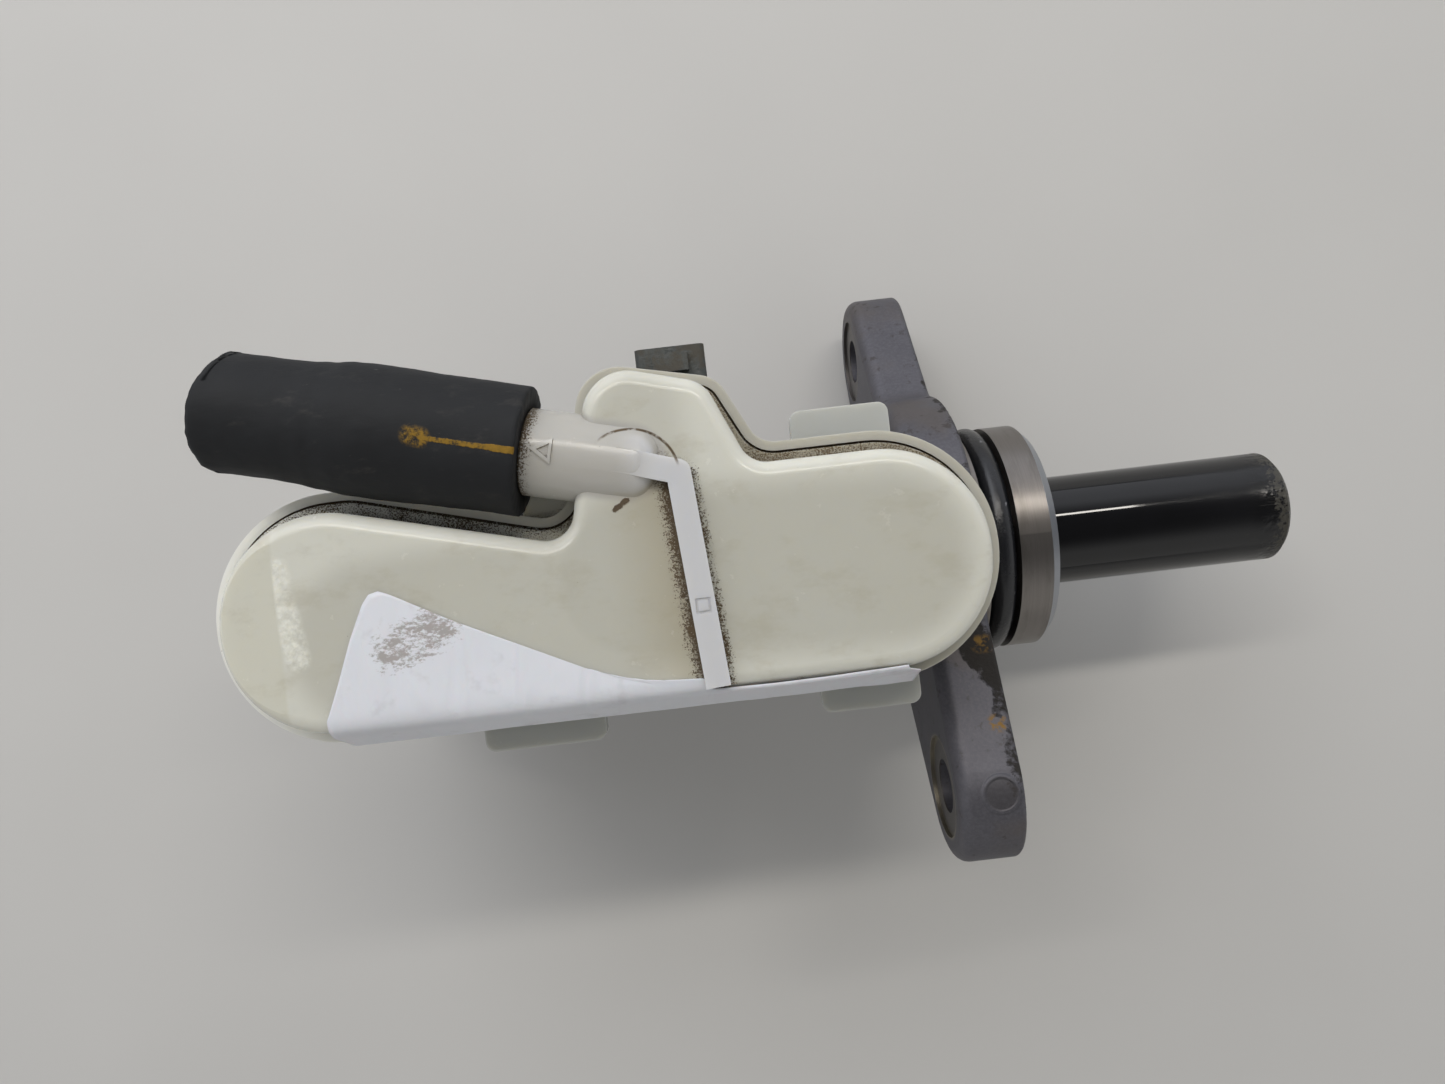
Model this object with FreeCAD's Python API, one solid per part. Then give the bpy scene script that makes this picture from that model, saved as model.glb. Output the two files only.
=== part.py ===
import FreeCAD, Part
import math
import os

# Tandem brake master cylinder with its fluid reservoir, in millimetres.
# Origin: the bore axis at the flange's mounting face. +X runs back to the booster,
# +Z up to the reservoir, +Y to the side that the hose nipple leans to.

Vec = FreeCAD.Vector
along_x = Vec(1, 0, 0)
along_y = Vec(0, 1, 0)
along_z = Vec(0, 0, 1)

# Fits
running_gap = 0.04          # piston in bore and guide, on the radius
lip_gap = 0.05              # rubber lip to piston, on the radius
groove_gap = 0.1            # ring or seal in its groove, each side
push_gap = 0.05             # pushed-together parts, on the radius

# Bore and casting
bore_d = 20.64
body_d = 37.0
end_wall = 8.0              # between the bore and the closed front end
body_nose_r = 5.0
neck_d = 48.0
neck_len = 9.0
gusset_t = 5.0
gusset_len = 24.0
gusset_sink = 1.0           # how deep the gusset's thin end starts in the body

# Flange
flange_t = 10.5
hub_d = 56.5
ear_tilt = 29.0             # degrees that the ear line leans off level
stud_pcd = 93.4
stud_hole_d = 9.0
ear_tip_r = 12.6
ear_root_half = 17.0
ear_root_u = 15.0
ear_blend_r = 5.0
flange_front_r = 2.4
flange_back_r = 0.9
spot_face_d = 17.0
spot_face_depth = 0.6
ejector_mark_d = 6.0
ejector_mark_depth = 0.35
ejector_mark_u = 44.8

# Spigot that centres the cylinder in the booster
spigot_d = 42.0
spigot_len = 15.4
spigot_chamfer = 1.6
land_len = 2.8
seal_groove_w = 5.4
spigot_seal_section = 4.6
spigot_seal_stand = 0.35    # how far the seal stands out of the spigot

# Pocket in the spigot for the guide, its seals and the snap ring
guide_wall = 3.68
pocket_d = bore_d + 2 * guide_wall
pocket_depth = 19.9
rod_seal_w = 5.4
snap_ring_t = 1.2
snap_ring_inset = 0.7
snap_ring_seat = 1.3        # radial depth of the snap ring's groove
snap_ring_band = 2.0        # how far the ring stands into the pocket
snap_ring_mouth = 5.0
snap_ear_d = 4.0
snap_ear_hole_d = 1.6
snap_ear_y = 4.2
guide_oring_section = 1.5

# Seats around the bore, each by its rear edge and its width. Every place is taken from
# the one behind it, so a longer piston makes a longer casting.
primary_feed = (-18.0, 8.0)
primary_cup_seat = (primary_feed[0] - 10.2, 4.6)
piston_past_cup = 3.2
piston_spacing = 17.0       # between the two pistons at rest
secondary_len = 37.0
secondary_front_room = 16.0  # from the secondary piston to the end of the bore
primary_front_x = primary_cup_seat[0] - primary_cup_seat[1] - piston_past_cup
secondary_rear_x = primary_front_x - piston_spacing
secondary_front_x = secondary_rear_x - secondary_len
bore_end_x = secondary_front_x - secondary_front_room
body_len = end_wall - bore_end_x
separating_cup_seat = (secondary_rear_x - 14.4, 4.6)
secondary_feed = (secondary_rear_x - 20.2, 7.0)
secondary_cup_seat = (secondary_rear_x - 28.6, 4.6)
feed_groove_depth = 2.2
cup_seat_depth = 3.6
lip_hollow_share = 0.55     # depth of the hollow between a seal's lips, as a share of its width

# Pistons, springs and the caged-spring parts
primary_end_x = 62.0        # rear end that the push rod enters
rod_socket_d = 12.6
rod_socket_depth = 47.0
rod_socket_cone = 3.0
piston_chamfer = 0.8
spring_well_d = 13.8
primary_well_floor_x = 0.0
secondary_well_depth = 20.0
relief_hole_d = 1.6
relief_hole_count = 6
relief_hole_back = 2.0      # from the rear edge of each pressure cup
spring_wire = 1.8
primary_spring_d = 13.2
secondary_spring_d = 13.2
primary_spring_turns = 9
secondary_spring_turns = 6
cap_d = 8.6
cap_wall = 0.8
cap_len = 19.5
cap_flange_d = 13.2
cap_flange_t = 1.0
screw_d = 4.0
screw_head_t = 2.0
screw_head_gap = 0.3
screw_thread_len = 9.0
screw_slot_w = 1.0
screw_slot_depth = 0.9

# Outlets to the two brake circuits
outlet_x = (primary_front_x - 8.0, bore_end_x + 10.0)
outlet_boss_d = 19.0
outlet_reach = 23.4         # boss face, measured from the bore axis
outlet_drop = -3.0          # height of the outlet axis
outlet_tap_d = 9.0
outlet_tap_len = 8.0
outlet_cross_d = 3.0
outlet_step = 1.0           # cone between the tapped hole and the seat's bore
seat_bore_d = 7.0
seat_bore_len = 2.6
seat_len = 2.0
seat_cone_len = 1.4
seat_cone_rim = 0.4
seat_hole_d = 3.2

# Grommets between casting and reservoir
grommet_x = (primary_feed[0] - 6.0, secondary_feed[0] - 2.8)
socket_d = 20.0
socket_floor_wall = 0.58    # left above the cup seats
socket_depth = 10.0
socket_floor_z = bore_d / 2 + cup_seat_depth + socket_floor_wall
boss_d = 27.0
boss_top_z = socket_floor_z + socket_depth
feed_hole_d = 5.0
grommet_flange_d = 24.0
grommet_flange_t = 2.6
grommet_floor = 1.5

# Reservoir, by the outline of its welded rim
rim_left = -118.4
rim_right = -2.5
rim_low = -18.5
rim_high = 18.3
lobe_left = (-61.2, 33.3)
lobe_right = (-41.2, 28.8)
notch_left = (-65.5, 9.9)
notch_right_x = -36.0
shoulder_x = -96.5
notch_r = 4.0
lobe_left_r = 6.5
lobe_right_r = 5.0
shoulder_r = 13.0
wall_inset = (3.3, 2.6, 3.6, 2.0)   # at the ends, low side, high side and lobe
front_inset_share = 1.45     # the front end stands back from the rim by this much more
floor_lift = 1.3            # reservoir floor above the grommets
lower_depth = 14.2          # from the floor to the rim's underside
upper_rise = 11.6           # from the weld to the top face
floor_z = boss_top_z + grommet_flange_t + floor_lift
ledge_z = floor_z + lower_depth
ledge_t = 1.8
flange_z = ledge_z + ledge_t
lip_w = 1.4
lip_h = 1.1
seam_gap = 0.4
flange_h = 1.6
top_z = flange_z + upper_rise
top_edge_r = 2.3
shell_t = 2.2
spigot_od = 12.0
spigot_id = 8.6
spigot_below = 11.0         # feed spigots below the floor
tab_reach = 4.9
tab_t = 3.0
tab_z = ledge_z - 6.0
tab_corner_r = 1.6
tabs = ((-23.0, 15.2, 1), (-23.0, 15.2, -1), (-73.2, 18.6, -1))   # middle, length, side
notch_web = (-72.4, -62.0, 9.0, 18.8)   # X and Y limits of the web in the notch
notch_web_t = 3.0
crease_x = -104.6
crease_drop = 0.6
crease_run = 9.5

# Hose nipple, its dome on the top face, and the raised strip
nipple_start = (-62.4, 18.5)
nipple_turn = 14.0          # degrees off the bore axis, seen from above
nipple_z = top_z - 4.0
nipple_d = 12.4
nipple_bore_d = 8.2
nipple_collar = 6.6         # bare length outside the reservoir
nipple_len = 32.0
nipple_neck_d = 11.2
barb_d = 13.4
barb_len = 4.5
barb_back = 3.0
dome_run = 12.5
dome_end_r = 4.0
strip_w = 3.4
strip_rise = 2.0
strip_path = ((-56.5, 17.1), (-48.0, 14.4), (-45.9, -15.2))
strip_mark = 2.1
strip_mark_y = -4.0
mark_line = 0.35
mark_depth = 0.2
arrow_len = 3.0
arrow_half = 1.8
arrow_inset = 1.2           # from the hose's end of the collar
arrow_tip_line = 1.0        # widths of the triangle's outline
arrow_line = 0.4
arrow_rise = 0.25

# Locating pin between reservoir and casting
pin_x = -50.0
pin_z = floor_z - 4.0
pin_d = 4.0
pin_len = 21.0
pin_wall = 0.8
pin_slit = 0.6
lug_half = 5.0
lug_w = 8.0
lug_top_z = floor_z - 0.7
lug_gap = 0.3
lug_web_rise = 1.5          # web between the bosses, above the body
cheek_t = 3.5
cheek_drop = 4.0            # below the pin's axis

# Level sensor, float and magnet
float_x = -50.0
float_y = 17.5
float_d = 12.0
float_h = 6.5
float_rest_z = floor_z + 12.2
float_guide_gap = 0.4
float_guide_t = 1.2
float_guide_top_z = flange_z + 5.6
guide_slot = 3.0
guide_slot_top = 3.0        # whole ring left above the slots
magnet_d = 5.0
magnet_h = 2.6
sensor_z = floor_z + 6.2
sensor_x = -47.8
sensor_stem_d = 7.4
sensor_well_t = 1.3
sensor_stem_in = 12.0       # inner end of the stem, measured as Y
plug_w = 10.8
plug_h = 9.4
plug_front_y = 35.4
plug_wall = 1.3
plug_depth = 5.2
plug_gap = 0.3
plug_corner_r = 1.0
latch_w = 5.4
latch_rise = 1.5
latch_back = 1.5
latch_front = 1.2
terminal_w = 0.8
terminal_h = 2.2
terminal_pitch = 3.6
terminal_reach = 4.2

# Rubber hose stub
hose_len = 44.0
hose_d = 17.2
hose_bulge_d = 19.0
hose_mouth_d = 18.2
hose_bore_d = 10.8
hose_edge_r = 1.0
hose_fit = 0.05
hose_collar_gap = 0.2
hose_swell = 0.2            # slight widening between the mouth and the barb
hose_bulge_run = 9.0        # length over which the swelling over the barb fades
hose_bore_run = 4.0         # from the nipple's tip to the full bore

# Paper label
label_t = 0.2
label_lift = 0.03
label_top = ((-91.5, 3.4), (-99.6, -13.6), (-55.5, -13.6), (-59.2, -12.4), (-81.3, -2.0))
label_bend_x = -55.5        # the label lies on the top face only in front of this
label_end_x = -18.0
label_drop = 0.6            # first point of the side strip below the top face
label_rim_lift = 0.8
label_out = 0.35            # clearance of the wrapped edge outside the rim
label_hem = 2.6             # length wrapped down past the rim's ledge

cut_over = 1.0              # how far cutting tools run past a face

piston_d = bore_d - 2 * running_gap
seal_id = piston_d + 2 * lip_gap
lip_top_z = flange_z + lip_h


# ---- helpers ----

def rod(x0, x1, d, y=0.0, z=0.0):
    return Part.makeCylinder(d / 2, x1 - x0, Vec(x0, y, z), along_x)


def ring(x0, x1, outer, inner):
    return rod(x0, x1, outer).cut(rod(x0, x1, inner))


def post(x, y, z0, z1, d):
    return Part.makeCylinder(d / 2, z1 - z0, Vec(x, y, z0), along_z)


def side_rod(x, z, y0, y1, d):
    return Part.makeCylinder(d / 2, y1 - y0, Vec(x, y0, z), along_y)


def block(x0, x1, y0, y1, z0, z1):
    return Part.makeBox(x1 - x0, y1 - y0, z1 - z0, Vec(x0, y0, z0))


def fuse(*shapes):
    return shapes[0].multiFuse(list(shapes[1:])).removeSplitter()


def prism(points, z0, z1):
    corners = [Vec(x, y, z0) for x, y in points]
    face = Part.Face(Part.makePolygon(corners + corners[:1]))
    return face.extrude(Vec(0, 0, z1 - z0))


def rounded_wire(corners, z):
    # Each corner is x, y and the radius that rounds it.
    edges = []
    points = [Vec(x, y, z) for x, y, r in corners]
    tangents = []
    for i, (x, y, radius) in enumerate(corners):
        here = points[i]
        back = (points[i - 1] - here).normalize()
        ahead = (points[(i + 1) % len(points)] - here).normalize()
        half_angle = back.getAngle(ahead) / 2
        reach = radius / math.tan(half_angle)
        bisector = (back + ahead).normalize()
        middle = here + bisector * (radius / math.sin(half_angle) - radius)
        tangents.append((here + back * reach, middle, here + ahead * reach))
    for i, (start, middle, end) in enumerate(tangents):
        next_start = tangents[(i + 1) % len(tangents)][0]
        edges.append(Part.Arc(start, middle, end).toShape())
        edges.append(Part.makeLine(end, next_start))
    return Part.Wire(edges)


def rounded_prism(corners, z0, z1):
    return Part.Face(rounded_wire(corners, z0)).extrude(Vec(0, 0, z1 - z0))


def turned(profile):
    # Profile points are (distance along X, radius), turned about the X axis.
    corners = [Vec(x, r, 0) for x, r in profile]
    face = Part.Face(Part.makePolygon(corners + corners[:1]))
    return face.revolve(Vec(0, 0, 0), along_x, 360)


def torus_on_x(x, mid_r, section):
    return Part.makeTorus(mid_r, section / 2, Vec(x, 0, 0), along_x)


def edges_at(shape, axis, value):
    found = []
    for edge in shape.Edges:
        box = edge.BoundBox
        low = getattr(box, axis + "Min")
        high = getattr(box, axis + "Max")
        if abs(low - value) < 0.001 and abs(high - value) < 0.001:
            found.append(edge)
    return found


def span(seat):
    # Front and rear X of a seat given by its rear edge and width.
    return seat[0] - seat[1], seat[0]


def save(name, shape):
    shape.exportStep(os.path.join("parts", name + ".step"))


# ---- casting ----

def flange_plate():
    # The flange outline is drawn in the YZ plane as u along the ear, v across it.
    reach = stud_pcd / 2
    root = Vec(ear_root_u, ear_root_half, 0)
    to_tip = Vec(reach, 0, 0) - root
    lean = math.asin(ear_tip_r / to_tip.Length) + math.atan2(to_tip.y, to_tip.x)
    touch_u = reach - ear_tip_r * math.sin(lean)
    touch_v = ear_tip_r * math.cos(lean)
    plate = post(0, 0, 0, flange_t, hub_d)
    for side in (1, -1):
        outline = [(0, ear_root_half), (ear_root_u, ear_root_half), (touch_u, touch_v),
                   (touch_u, -touch_v), (ear_root_u, -ear_root_half), (0, -ear_root_half)]
        ear = prism([(side * u, v) for u, v in outline], 0, flange_t)
        plate = fuse(plate, ear, post(side * reach, 0, 0, flange_t, 2 * ear_tip_r))
    face = [f for f in plate.Faces if abs(f.CenterOfMass.z) < 0.001][0]
    face = Part.Face(face.OuterWire)
    face = face.makeOffset2D(ear_blend_r).makeOffset2D(-ear_blend_r)
    plate = face.extrude(Vec(0, 0, flange_t))
    plate = plate.makeFillet(flange_front_r, edges_at(plate, "Z", flange_t))
    plate = plate.makeFillet(flange_back_r, edges_at(plate, "Z", 0.0))
    for side in (1, -1):
        plate = plate.cut(post(side * reach, 0, -1, flange_t + 1, stud_hole_d))
        plate = plate.cut(post(side * reach, 0, flange_t - spot_face_depth, flange_t + 1, spot_face_d))
    return plate.cut(ejector_mark(touch_u, touch_v))


def ejector_mark(touch_u, touch_v):
    # A shallow round mark in the sloping side of one ear.
    slope = math.atan2(ear_root_half - touch_v, touch_u - ear_root_u)
    depth_v = ear_root_half - (ejector_mark_u - ear_root_u) * math.tan(slope)
    outward = Vec(math.sin(slope), math.cos(slope), 0)
    centre = Vec(ejector_mark_u, depth_v, flange_t / 2) - outward * ejector_mark_depth
    return Part.makeCylinder(ejector_mark_d / 2, 2, centre, outward)


def place_flange(plate):
    # Plate Z becomes -X, and u leans off level by the ear tilt.
    plate.rotate(Vec(0, 0, 0), along_y, -90)
    plate.rotate(Vec(0, 0, 0), along_x, 90)
    plate.rotate(Vec(0, 0, 0), along_x, 180 - ear_tilt)
    return plate


def spigot():
    body = rod(0, spigot_len, spigot_d)
    body = body.makeChamfer(spigot_chamfer, edges_at(body, "X", spigot_len))
    groove_d = spigot_d + 2 * spigot_seal_stand - 2 * spigot_seal_section
    return body.cut(ring(land_len, land_len + seal_groove_w, spigot_d + 2, groove_d))


def casting_outside():
    tube = rod(-body_len, 0, body_d)
    tube = tube.makeFillet(body_nose_r, edges_at(tube, "X", -body_len))
    neck = Part.makeCone(body_d / 2, neck_d / 2, neck_len, Vec(-flange_t - neck_len, 0, 0), along_x)
    shape = fuse(tube, neck, place_flange(flange_plate()), spigot())
    gusset = prism([(-flange_t - gusset_len, 0), (0, 0), (0, hub_d / 2 - flange_front_r),
                    (-flange_t, hub_d / 2 - flange_front_r),
                    (-flange_t - gusset_len, body_d / 2 - gusset_sink)], -gusset_t / 2, gusset_t / 2)
    gusset.rotate(Vec(0, 0, 0), along_x, -90)
    shape = fuse(shape, gusset)
    for x in grommet_x:
        shape = fuse(shape, post(x, 0, 0, boss_top_z, boss_d))
    for x in outlet_x:
        shape = fuse(shape, side_rod(x, outlet_drop, -outlet_reach, 0, outlet_boss_d))
    web = block(grommet_x[1], grommet_x[0], -lug_half, lug_half, 0, body_d / 2 + lug_web_rise)
    lug = block(pin_x - lug_w / 2, pin_x + lug_w / 2, -lug_half, lug_half, 0, lug_top_z)
    return fuse(shape, web, lug)


def casting_inside():
    pocket_x = spigot_len - pocket_depth
    cuts = [rod(bore_end_x, spigot_len + cut_over, bore_d), rod(pocket_x, spigot_len + cut_over, pocket_d)]
    ring_x = spigot_len - snap_ring_inset
    ring_d = pocket_d + 2 * snap_ring_seat
    cuts.append(rod(ring_x - snap_ring_t - 2 * groove_gap, ring_x, ring_d))
    for seat in (primary_feed, secondary_feed):
        x0, x1 = span(seat)
        cuts.append(rod(x0, x1, bore_d + 2 * feed_groove_depth))
    for seat in (primary_cup_seat, separating_cup_seat, secondary_cup_seat):
        x0, x1 = span(seat)
        cuts.append(rod(x0, x1, bore_d + 2 * cup_seat_depth))
    for x in grommet_x:
        cuts.append(post(x, 0, socket_floor_z, boss_top_z + cut_over, socket_d))
        cuts.append(post(x, 0, bore_d / 4, socket_floor_z, feed_hole_d))
    for x in outlet_x:
        tap_y = outlet_tap_len - outlet_reach
        step_y = tap_y + outlet_step
        seat_y = step_y + seat_bore_len
        tap_end = Vec(x, tap_y, outlet_drop)
        cuts.append(Part.makeCone(outlet_tap_d / 2, seat_bore_d / 2, outlet_step, tap_end, along_y))
        cuts.append(side_rod(x, outlet_drop, -outlet_reach - cut_over, tap_y, outlet_tap_d))
        cuts.append(side_rod(x, outlet_drop, step_y, seat_y, seat_bore_d))
        cuts.append(side_rod(x, outlet_drop, seat_y - cut_over, -bore_d / 4, outlet_cross_d))
    cuts.append(side_rod(pin_x, pin_z, -lug_half - cut_over, lug_half + cut_over, pin_d))
    return cuts


def cylinder_body():
    return casting_outside().cut(casting_inside()).removeSplitter()


# ---- seals, guide and ring ----

def spigot_o_ring():
    mid_r = spigot_d / 2 + spigot_seal_stand - spigot_seal_section / 2
    return torus_on_x(land_len + seal_groove_w / 2, mid_r, spigot_seal_section)


def guide_span():
    rear = spigot_len - snap_ring_inset - snap_ring_t - 2 * groove_gap
    return spigot_len - pocket_depth + rod_seal_w + groove_gap, rear


def piston_guide():
    x0, x1 = guide_span()
    bush = ring(x0, x1, pocket_d - 2 * push_gap, piston_d + 2 * running_gap)
    groove_w = guide_oring_section + 4 * groove_gap
    groove_d = pocket_d - 2 * guide_oring_section
    middle = (x0 + x1) / 2
    return bush.cut(ring(middle - groove_w / 2, middle + groove_w / 2, pocket_d + 1, groove_d))


def guide_o_ring():
    x0, x1 = guide_span()
    mid_r = (pocket_d - guide_oring_section) / 2
    return torus_on_x((x0 + x1) / 2, mid_r, guide_oring_section)


def snap_ring():
    x1 = spigot_len - snap_ring_inset - groove_gap
    x0 = x1 - snap_ring_t
    outer = pocket_d + 2 * snap_ring_seat - 2 * groove_gap
    ear_z = pocket_d / 2 - snap_ear_d / 2 + push_gap
    plate = ring(x0, x1, outer, pocket_d - 2 * snap_ring_band)
    mouth = block(x0 - cut_over, x1 + cut_over, -snap_ring_mouth / 2, snap_ring_mouth / 2, 0, outer)
    plate = plate.cut(mouth)
    for y in (-snap_ear_y, snap_ear_y):
        plate = fuse(plate, rod(x0, x1, snap_ear_d, y, ear_z))
    for y in (-snap_ear_y, snap_ear_y):
        plate = plate.cut(rod(x0 - cut_over, x1 + cut_over, snap_ear_hole_d, y, ear_z))
    return plate


def lip_seal(x0, x1, outer, inner):
    # A ring with a V hollow in its front face, between its two lips.
    body = ring(x0, x1, outer, inner)
    middle = (outer + inner) / 4
    hollow_w = (outer - inner) / 6
    tip = x0 + (x1 - x0) * lip_hollow_share
    mouth = x0 - (tip - x0) * 0.01
    hollow = turned([(mouth, middle - hollow_w), (tip, middle), (mouth, middle + hollow_w)])
    return body.cut(hollow)


def rod_seal():
    x0 = spigot_len - pocket_depth
    return lip_seal(x0 + groove_gap, x0 + rod_seal_w, pocket_d - 2 * push_gap, seal_id)


def cup(seat):
    x0, x1 = span(seat)
    outer = bore_d + 2 * cup_seat_depth - 2 * push_gap
    return lip_seal(x0 + groove_gap, x1 - groove_gap, outer, seal_id)


# ---- pistons and springs ----

def relief_holes(cup_seat):
    x = cup_seat[0] + relief_hole_back
    holes = []
    for i in range(relief_hole_count):
        angle = 2 * math.pi * (i + 0.5) / relief_hole_count
        outward = Vec(0, math.cos(angle), math.sin(angle))
        holes.append(Part.makeCylinder(relief_hole_d / 2, bore_d, Vec(x, 0, 0), outward))
    return holes


def primary_piston():
    body = rod(primary_front_x, primary_end_x, piston_d)
    body = body.makeChamfer(piston_chamfer, edges_at(body, "X", primary_end_x))
    socket_x = primary_end_x - rod_socket_depth
    socket = turned([(socket_x - rod_socket_cone, 0), (socket_x, rod_socket_d / 2),
                     (primary_end_x + cut_over, rod_socket_d / 2), (primary_end_x + cut_over, 0)])
    well = rod(primary_front_x - cut_over, primary_well_floor_x, spring_well_d)
    thread = rod(primary_well_floor_x, primary_well_floor_x + screw_thread_len, screw_d)
    return body.cut([socket, well, thread] + relief_holes(primary_cup_seat))


def secondary_piston():
    body = rod(secondary_front_x, secondary_rear_x, piston_d)
    body = body.makeChamfer(piston_chamfer, edges_at(body, "X", secondary_rear_x))
    well = rod(secondary_front_x - cut_over, secondary_front_x + secondary_well_depth, spring_well_d)
    return body.cut([well] + relief_holes(secondary_cup_seat))


def coil_spring(x0, x1, outer, turns):
    # Closed-looking coil between two seats, with its wire held clear of both.
    mid_r = (outer - spring_wire) / 2
    length = x1 - x0 - spring_wire - 2 * groove_gap
    path = Part.makeHelix(length / turns, length, mid_r)
    loop = Part.makeCircle(spring_wire / 2, Vec(mid_r, 0, 0), along_y)
    coil = Part.Wire(path.Edges).makePipeShell([Part.Wire(loop)], True, True)
    coil.rotate(Vec(0, 0, 0), along_y, 90)
    coil.translate(Vec(x0 + groove_gap + spring_wire / 2, 0, 0))
    return coil


def primary_spring():
    seat = secondary_rear_x + cap_flange_t
    return coil_spring(seat, primary_well_floor_x, primary_spring_d, primary_spring_turns)


def secondary_spring():
    seat = secondary_front_x + secondary_well_depth
    return coil_spring(bore_end_x, seat, secondary_spring_d, secondary_spring_turns)


def spring_retainer():
    x0 = secondary_rear_x
    flange = rod(x0, x0 + cap_flange_t, cap_flange_d)
    tube = rod(x0, x0 + cap_len, cap_d)
    hollow = rod(x0 - cut_over, x0 + cap_len - cap_wall, cap_d - 2 * cap_wall)
    hole = rod(x0 - cut_over, x0 + cap_len + cut_over, screw_d + 2 * screw_head_gap)
    return fuse(flange, tube).cut([hollow, hole])


def retainer_screw():
    head_x = secondary_rear_x + cap_len - cap_wall - groove_gap
    under_x = head_x - screw_head_t
    head_d = cap_d - 2 * cap_wall - 2 * screw_head_gap
    head = rod(under_x, head_x, head_d)
    half_w = screw_slot_w / 2
    slot = block(under_x - cut_over, under_x + screw_slot_depth, -head_d, head_d, -half_w, half_w)
    shank = rod(head_x, primary_well_floor_x + screw_thread_len - groove_gap, screw_d - 2 * push_gap)
    return fuse(head.cut(slot), shank)


# ---- outlets and grommets ----

def port_seats():
    # Inserts pressed in behind the threads, each with a cone that the pipe's flare seals on.
    seats = []
    for x in outlet_x:
        end_y = outlet_tap_len + outlet_step + seat_bore_len - outlet_reach
        plug_y = end_y - seat_len
        plug_d = seat_bore_d - 2 * push_gap
        plug = side_rod(x, outlet_drop, plug_y, end_y, plug_d)
        tip = Vec(x, plug_y - seat_cone_len, outlet_drop)
        cone = Part.makeCone(seat_hole_d / 2 + seat_cone_rim, plug_d / 2, seat_cone_len, tip, along_y)
        hole = side_rod(x, outlet_drop, tip.y - cut_over, end_y + cut_over, seat_hole_d)
        seats.append(fuse(plug, cone).cut(hole))
    return Part.makeCompound(seats)


def grommet(x):
    plug = post(x, 0, socket_floor_z, boss_top_z, socket_d - 2 * push_gap)
    flange = post(x, 0, boss_top_z, boss_top_z + grommet_flange_t, grommet_flange_d)
    top_z = boss_top_z + grommet_flange_t
    bore = post(x, 0, socket_floor_z + grommet_floor, top_z + cut_over, spigot_od + 2 * push_gap)
    drain = post(x, 0, 0, boss_top_z, spigot_id)
    return fuse(plug, flange).cut([bore, drain])


# ---- reservoir ----

def reservoir_corners(inset=(0, 0, 0, 0)):
    # Outline seen from above, moved in from the welded rim by four separate insets.
    ends, low_side, high_side, lobe = inset
    left = rim_left + ends * front_inset_share
    right = rim_right - ends
    low = rim_low + low_side
    high = rim_high - high_side
    end_r = (high - low) / 2 - 0.15
    return [
        (left, low, end_r),
        (right, low, end_r),
        (right, high, end_r),
        (notch_right_x - lobe, high, notch_r),
        (lobe_right[0] - lobe, lobe_right[1] - lobe, lobe_right_r),
        (lobe_left[0] + lobe, lobe_left[1] - lobe, lobe_left_r),
        (notch_left[0] + 0.7 * lobe, notch_left[1] - high_side, notch_r),
        (shoulder_x, high, shoulder_r),
        (left, high, end_r),
    ]


def inner_prism(inset, amount, z0, z1):
    face = Part.Face(rounded_wire(reservoir_corners(inset), z0))
    return face.makeOffset2D(-amount).extrude(Vec(0, 0, z1 - z0))


def nipple_frame(shape):
    # Parts of the nipple are drawn along -X from the origin, then leaned and lifted.
    shape.rotate(Vec(0, 0, 0), along_z, -nipple_turn)
    shape.translate(Vec(nipple_start[0], nipple_start[1], nipple_z))
    return shape


def nipple_profile(gap=0.0):
    # Distance out along the nipple and radius, from the collar's end to the tip.
    tip = nipple_len
    return [
        (nipple_collar, nipple_neck_d / 2 + gap),
        (tip - barb_back - barb_len, nipple_neck_d / 2 + gap),
        (tip - barb_back, barb_d / 2 + gap),
        (tip, nipple_neck_d / 2 + gap),
    ]


def nipple_outside():
    profile = [(-x, r) for x, r in nipple_profile()]
    closed = [(dome_run, 0), (dome_run, nipple_d / 2), (-nipple_collar, nipple_d / 2)]
    body = turned(closed + profile + [(-nipple_len, 0)])
    body = body.makeFillet(dome_end_r, edges_at(body, "X", dome_run))
    return nipple_frame(body)


def nipple_bore():
    return nipple_frame(rod(-nipple_len - 1, dome_run - dome_end_r, nipple_bore_d))


def strip_run(start, end, z0, z1):
    # One straight run of the raised strip, with square ends past both points.
    a = Vec(start[0], start[1], 0)
    b = Vec(end[0], end[1], 0)
    ahead = (b - a).normalize()
    across = Vec(-ahead.y, ahead.x, 0) * (strip_w / 2)
    corners = [a - across, b - across, b + across, a + across]
    return prism([(c.x, c.y) for c in corners], z0, z1)


def raised_strip():
    start, corner, end = strip_path
    base_z = top_z - shell_t / 2
    runs = [strip_run(start, corner, base_z, top_z + strip_rise),
            strip_run(corner, end, base_z, top_z + strip_rise)]
    joint = post(corner[0], corner[1], base_z, top_z + strip_rise, strip_w)
    return fuse(runs[0], runs[1], joint)


def strip_mark_cut():
    corner, end = strip_path[1], strip_path[2]
    share = (strip_mark_y - corner[1]) / (end[1] - corner[1])
    x = corner[0] + share * (end[0] - corner[0])
    half = strip_mark / 2
    z1 = top_z + strip_rise
    z0 = z1 - mark_depth
    z2 = z1 + cut_over
    squares = []
    for reach in (half, half - mark_line):
        squares.append(block(x - reach, x + reach, strip_mark_y - reach, strip_mark_y + reach, z0, z2))
    return squares[0].cut(squares[1])


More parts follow.
